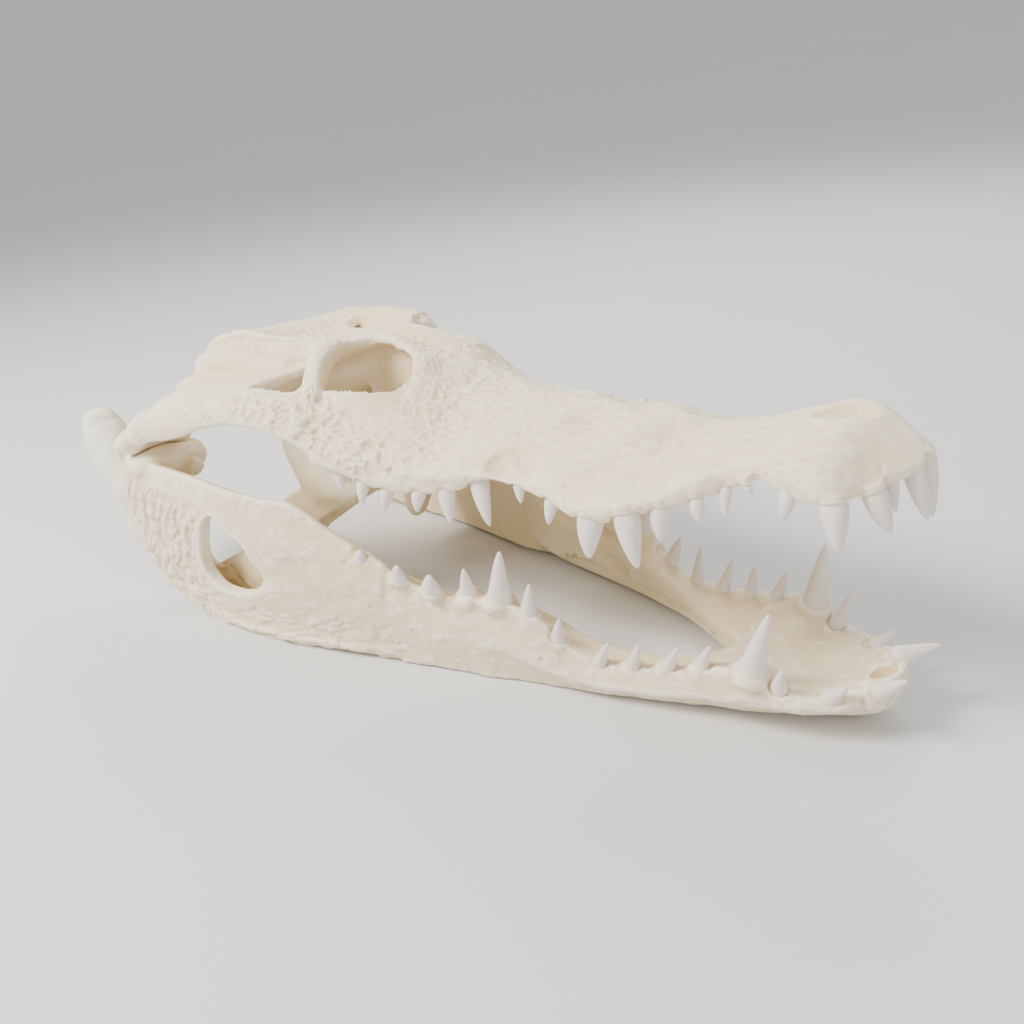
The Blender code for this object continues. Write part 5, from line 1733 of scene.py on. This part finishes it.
@dataclass(frozen=True)
class BoneFinish:
    """Dry bleached bone, with painted shade in its hollows, sheltered places and inner faces, and painted
    light on its ridges.
    """

    name: str
    base: Colour = (0.92, 0.78, 0.52)
    stain: Colour = (0.82, 0.68, 0.48)
    blush: Colour = (0.85, 0.70, 0.54)
    # painted shade in concave places
    hollow: Colour = (0.72, 0.57, 0.37)
    # painted light: a paler tint on convex places, where the hollow mask is low
    ridge: Colour = (0.90, 0.83, 0.69)
    # painted shade where little of the sky is seen
    shelter: Colour = (0.72, 0.58, 0.36)
    # painted shade, darker and yellower, on faces turned down, towards the midline or into openings
    inner: Colour = (0.80, 0.66, 0.41)
    cool: Colour = (0.74, 0.75, 0.70)
    roughness: float = 0.62
    bump: float = 0.35

    def material(self, kit: dict[str, bpy.types.NodeTree]) -> bpy.types.Material:
        """Builds the material.

        Args:
            kit: the shared node groups by name.

        Returns:
            The material.
        """
        mat, shader, place = NodeKit.blank(self.name)
        tree = mat.node_tree
        masks = {
            key: NodeKit.add(tree, "ShaderNodeAttribute", attribute_name=key).outputs["Fac"]
            for key in ("hollow", "shelter", "inner", "cool")
        }
        tone = NodeKit.use(tree, kit["mottle"], {
            "Vector": place, "Colour": (*self.base, 1), "Stain": (*self.stain, 1), "Scale": 34.0,
            "Amount": 0.7})
        broad = NodeKit.use(tree, kit["mottle"], {
            "Vector": place, "Colour": tone.outputs["Colour"], "Stain": (*self.blush, 1), "Scale": 9.0,
            "Amount": 0.6})
        colour = broad.outputs["Colour"]
        # cool is the bluish tone of the spurs; ridge is painted light on convex places; hollow, inner and
        # the sky-occlusion layer are painted shade
        layers = (
            (self.cool, masks["cool"], 0.1, 1.0, 0.75),
            (self.ridge, masks["hollow"], 0.45, 0.2, 0.8),
            (self.hollow, masks["hollow"], 0.55, 1.0, 0.5),
            (self.inner, masks["inner"], 0.0, 1.0, 0.75),
            (self.shelter, masks["shelter"], 0.45, 1.0, 0.4),
        )
        for tint, mask, start, end, strength in layers:
            node = NodeKit.use(tree, kit["mask_tint"], {
                "Colour": colour, "Tint": (*tint, 1), "Mask": mask, "From": start, "To": end,
                "Strength": strength})
            colour = node.outputs["Colour"]
        rough = NodeKit.add(tree, "ShaderNodeMapRange", {
            "Value": tone.outputs["Mask"], "To Min": self.roughness - 0.06, "To Max": self.roughness + 0.12})
        grain = NodeKit.use(tree, kit["grain"], {"Vector": place})
        bump = NodeKit.add(tree, "ShaderNodeBump", {
            "Strength": self.bump, "Distance": 0.0006, "Height": grain.outputs["Height"]})
        NodeKit.feed(tree, shader, {
            "Base Color": colour, "Roughness": rough.outputs["Result"], "Normal": bump.outputs["Normal"],
            "Subsurface Weight": 0.12, "Subsurface Radius": (1.0, 0.7, 0.45), "Subsurface Scale": 0.003,
            "Specular IOR Level": 0.35})
        return mat


@dataclass(frozen=True)
class ToothFinish:
    """Enamel over dentine: pale, faintly violet, with fine streaks from the root to the tip."""

    name: str = "tooth_enamel"
    enamel: Colour = (0.77, 0.70, 0.67)
    dentine: Colour = (0.82, 0.75, 0.66)
    streak: Colour = (0.76, 0.70, 0.67)
    roughness: float = 0.34

    def material(self, kit: dict[str, bpy.types.NodeTree]) -> bpy.types.Material:
        """Builds the material.

        Args:
            kit: the shared node groups by name.

        Returns:
            The material.
        """
        mat, shader, place = NodeKit.blank(self.name)
        tree = mat.node_tree
        crown = NodeKit.add(tree, "ShaderNodeAttribute", attribute_name="crown").outputs["Fac"]
        tone = NodeKit.use(tree, kit["mottle"], {
            "Vector": place, "Colour": (*self.enamel, 1), "Stain": (*self.streak, 1), "Scale": 120.0,
            "Amount": 0.35})
        root = NodeKit.use(tree, kit["mask_tint"], {
            "Colour": tone.outputs["Colour"], "Tint": (*self.dentine, 1), "Mask": crown, "From": 0.45,
            "To": 0.0, "Strength": 0.85})
        rough = NodeKit.add(tree, "ShaderNodeMapRange", {
            "Value": crown, "To Min": self.roughness + 0.16, "To Max": self.roughness - 0.04})
        grain = NodeKit.use(tree, kit["grain"], {
            "Vector": place, "Fibre": 500.0, "Stretch": 1.0, "Pin Scale": 300.0, "Pin Depth": 0.05})
        bump = NodeKit.add(tree, "ShaderNodeBump", {
            "Strength": 0.12, "Distance": 0.0004, "Height": grain.outputs["Height"]})
        NodeKit.feed(tree, shader, {
            "Base Color": root.outputs["Colour"], "Roughness": rough.outputs["Result"],
            "Normal": bump.outputs["Normal"], "Subsurface Weight": 0.2,
            "Subsurface Radius": (1.0, 0.8, 0.65), "Subsurface Scale": 0.002})
        return mat


@dataclass(frozen=True)
class Studio:
    """Pale floor, soft lights and the camera at the photo's angle."""

    camera_at: Point = (591.31, -399.42, 311.27)
    camera_right: Point = (0.76606, 0.63075, -0.12371)
    camera_up: Point = (-0.17371, 0.38846, 0.90495)
    camera_back: Point = (0.61885, -0.67175, 0.40715)
    lens: float = 34.942
    sensor: float = 36.0
    sheet_radius: float = 4.0
    # Radius of each further ring of the sheet, and its rise over the last one, in metres
    sheet_rim: tuple = (
        (5.0, 0.02), (6.5, 0.07), (8.0, 0.12), (10.0, 0.22), (12.0, 0.30), (15.0, 0.55), (18.0, 0.60),
        (22.0, 0.9),
    )
    # Name, place, size, power in watts and colour of each lamp
    lamps: tuple = (
        ("key", (-0.75, -1.0, 1.35), 0.7, 60.0, (1.0, 0.97, 0.93)),
        ("fill", (1.5, -0.6, 0.8), 1.2, 7.0, (0.98, 0.99, 1.0)),
        ("rim", (-0.3, 1.2, 1.3), 0.9, 16.0, (1.0, 0.99, 0.97)),
    )
    aim: Point = (0.0, 0.0, 0.08)

    def camera(self) -> None:
        """Stands the camera where the photo was taken from."""
        data = bpy.data.cameras.new("camera")
        data.lens = self.lens
        data.sensor_width = self.sensor
        data.clip_start = 0.01
        obj = bpy.data.objects.new("camera", data)
        turn = Matrix((self.camera_right, self.camera_up, self.camera_back)).transposed()
        place = Vector(self.camera_at) - Vector((CENTRE_X, 0, 0))
        obj.matrix_world = Matrix.Translation(place * MM) @ turn.to_4x4()
        bpy.context.scene.collection.objects.link(obj)
        bpy.context.scene.camera = obj

    def light(self, name: str, place: Point, size: float, power: float, colour: Colour) -> None:
        """A square area light, pointed at the skull.

        Args:
            name: its name.
            place: where it hangs, in metres.
            size: length of its sides, in metres.
            power: its power, in watts.
            colour: its colour.
        """
        data = bpy.data.lights.new(name, "AREA")
        data.shape = "SQUARE"
        data.size = size
        data.energy = power
        data.color = colour
        obj = bpy.data.objects.new(name, data)
        obj.location = place
        obj.rotation_euler = (Vector(self.aim) - Vector(place)).to_track_quat("-Z", "Y").to_euler()
        bpy.context.scene.collection.objects.link(obj)

    def sheet(self) -> bpy.types.Object:
        """A round sheet of paper whose rim curves up, far from the skull.

        Returns:
            The sheet.
        """
        bpy.ops.object.select_all(action="DESELECT")
        bpy.ops.mesh.primitive_circle_add(vertices=96, radius=self.sheet_radius, fill_type="NGON",
                                          location=(0, 0, 0))
        floor = bpy.context.object
        floor.name = "floor"
        bpy.ops.object.mode_set(mode="EDIT")
        bpy.ops.mesh.select_mode(type="EDGE")
        bpy.ops.mesh.select_all(action="SELECT")
        bpy.ops.mesh.region_to_loop()
        radius = self.sheet_radius
        for wider, lift in self.sheet_rim:
            bpy.ops.mesh.extrude_region_move(TRANSFORM_OT_translate={"value": (0, 0, lift)})
            share = wider / radius
            bpy.ops.transform.resize(value=(share, share, 1.0), center_override=(0, 0, 0))
            radius = wider
        bpy.ops.mesh.select_mode(type="VERT")
        bpy.ops.object.mode_set(mode="OBJECT")
        bpy.ops.object.shade_smooth()
        return floor

    def build(self) -> None:
        """Floor, world, lights and camera."""
        floor = self.sheet()
        mat, shader, place = NodeKit.blank("floor_paper")
        tree = mat.node_tree
        pulp = NodeKit.add(tree, "ShaderNodeTexNoise", {"Vector": place, "Scale": 3.0, "Detail": 3.0})
        shade = NodeKit.add(tree, "ShaderNodeMapRange", {
            "Value": pulp.outputs["Fac"], "To Min": 0.66, "To Max": 0.69})
        NodeKit.feed(tree, shader, {"Base Color": shade.outputs["Result"], "Roughness": 0.8})
        floor.data.materials.append(mat)
        world = bpy.data.worlds.new("studio")
        world.use_nodes = True
        background = world.node_tree.nodes["Background"]
        background.inputs["Color"].default_value = (1.0, 0.98, 0.96, 1)
        background.inputs["Strength"].default_value = 0.75
        bpy.context.scene.world = world
        for lamp in self.lamps:
            self.light(*lamp)
        self.camera()


def main() -> None:
    """Builds the skull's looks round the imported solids."""
    logging.basicConfig(level=logging.INFO, format="%(name)s: %(message)s")
    noise.seed_set(PATTERN_SEED)
    for obj in bpy.data.objects:
        obj.select_set(False)
    kit = {"mottle": NodeKit.mottle(), "grain": NodeKit.grain(), "mask_tint": NodeKit.mask_tint()}
    enamel = ToothFinish().material(kit)
    upper = Dentition("upper", BoneFrame.SKULL, UPPER_TEETH)
    lower = Dentition("lower", BoneFrame.JAW, LOWER_TEETH, long_form=CrownForm.CONE, widening=1.15)
    masters = {form: upper.master(form) for form in CrownForm}
    for master in masters.values():
        Bone.store(master, "crown", np.clip(fetch(master.data.vertices, "co")[:, 2], 0.0, 1.0))
        master.data.materials.append(enamel)
    for row in (upper, lower):
        crowns = row.build(masters)
        LOG.info("%s row: %d crowns", row.label, len(crowns))
    for master in masters.values():
        bpy.data.objects.remove(master, do_unlink=True)
    jaw_finish = BoneFinish("jaw_bone", base=(0.79, 0.66, 0.44), blush=(0.78, 0.63, 0.43))
    bones = (("cranium", Cranium(), BoneFinish("cranium_bone")), ("lower_jaw", LowerJaw(), jaw_finish))
    for node, bone, finish in bones:
        piece = bone.build()
        piece.data.materials.append(finish.material(kit))
        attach(piece, "root")
        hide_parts(node)
    Studio().build()


if __name__ == "__main__":
    main()
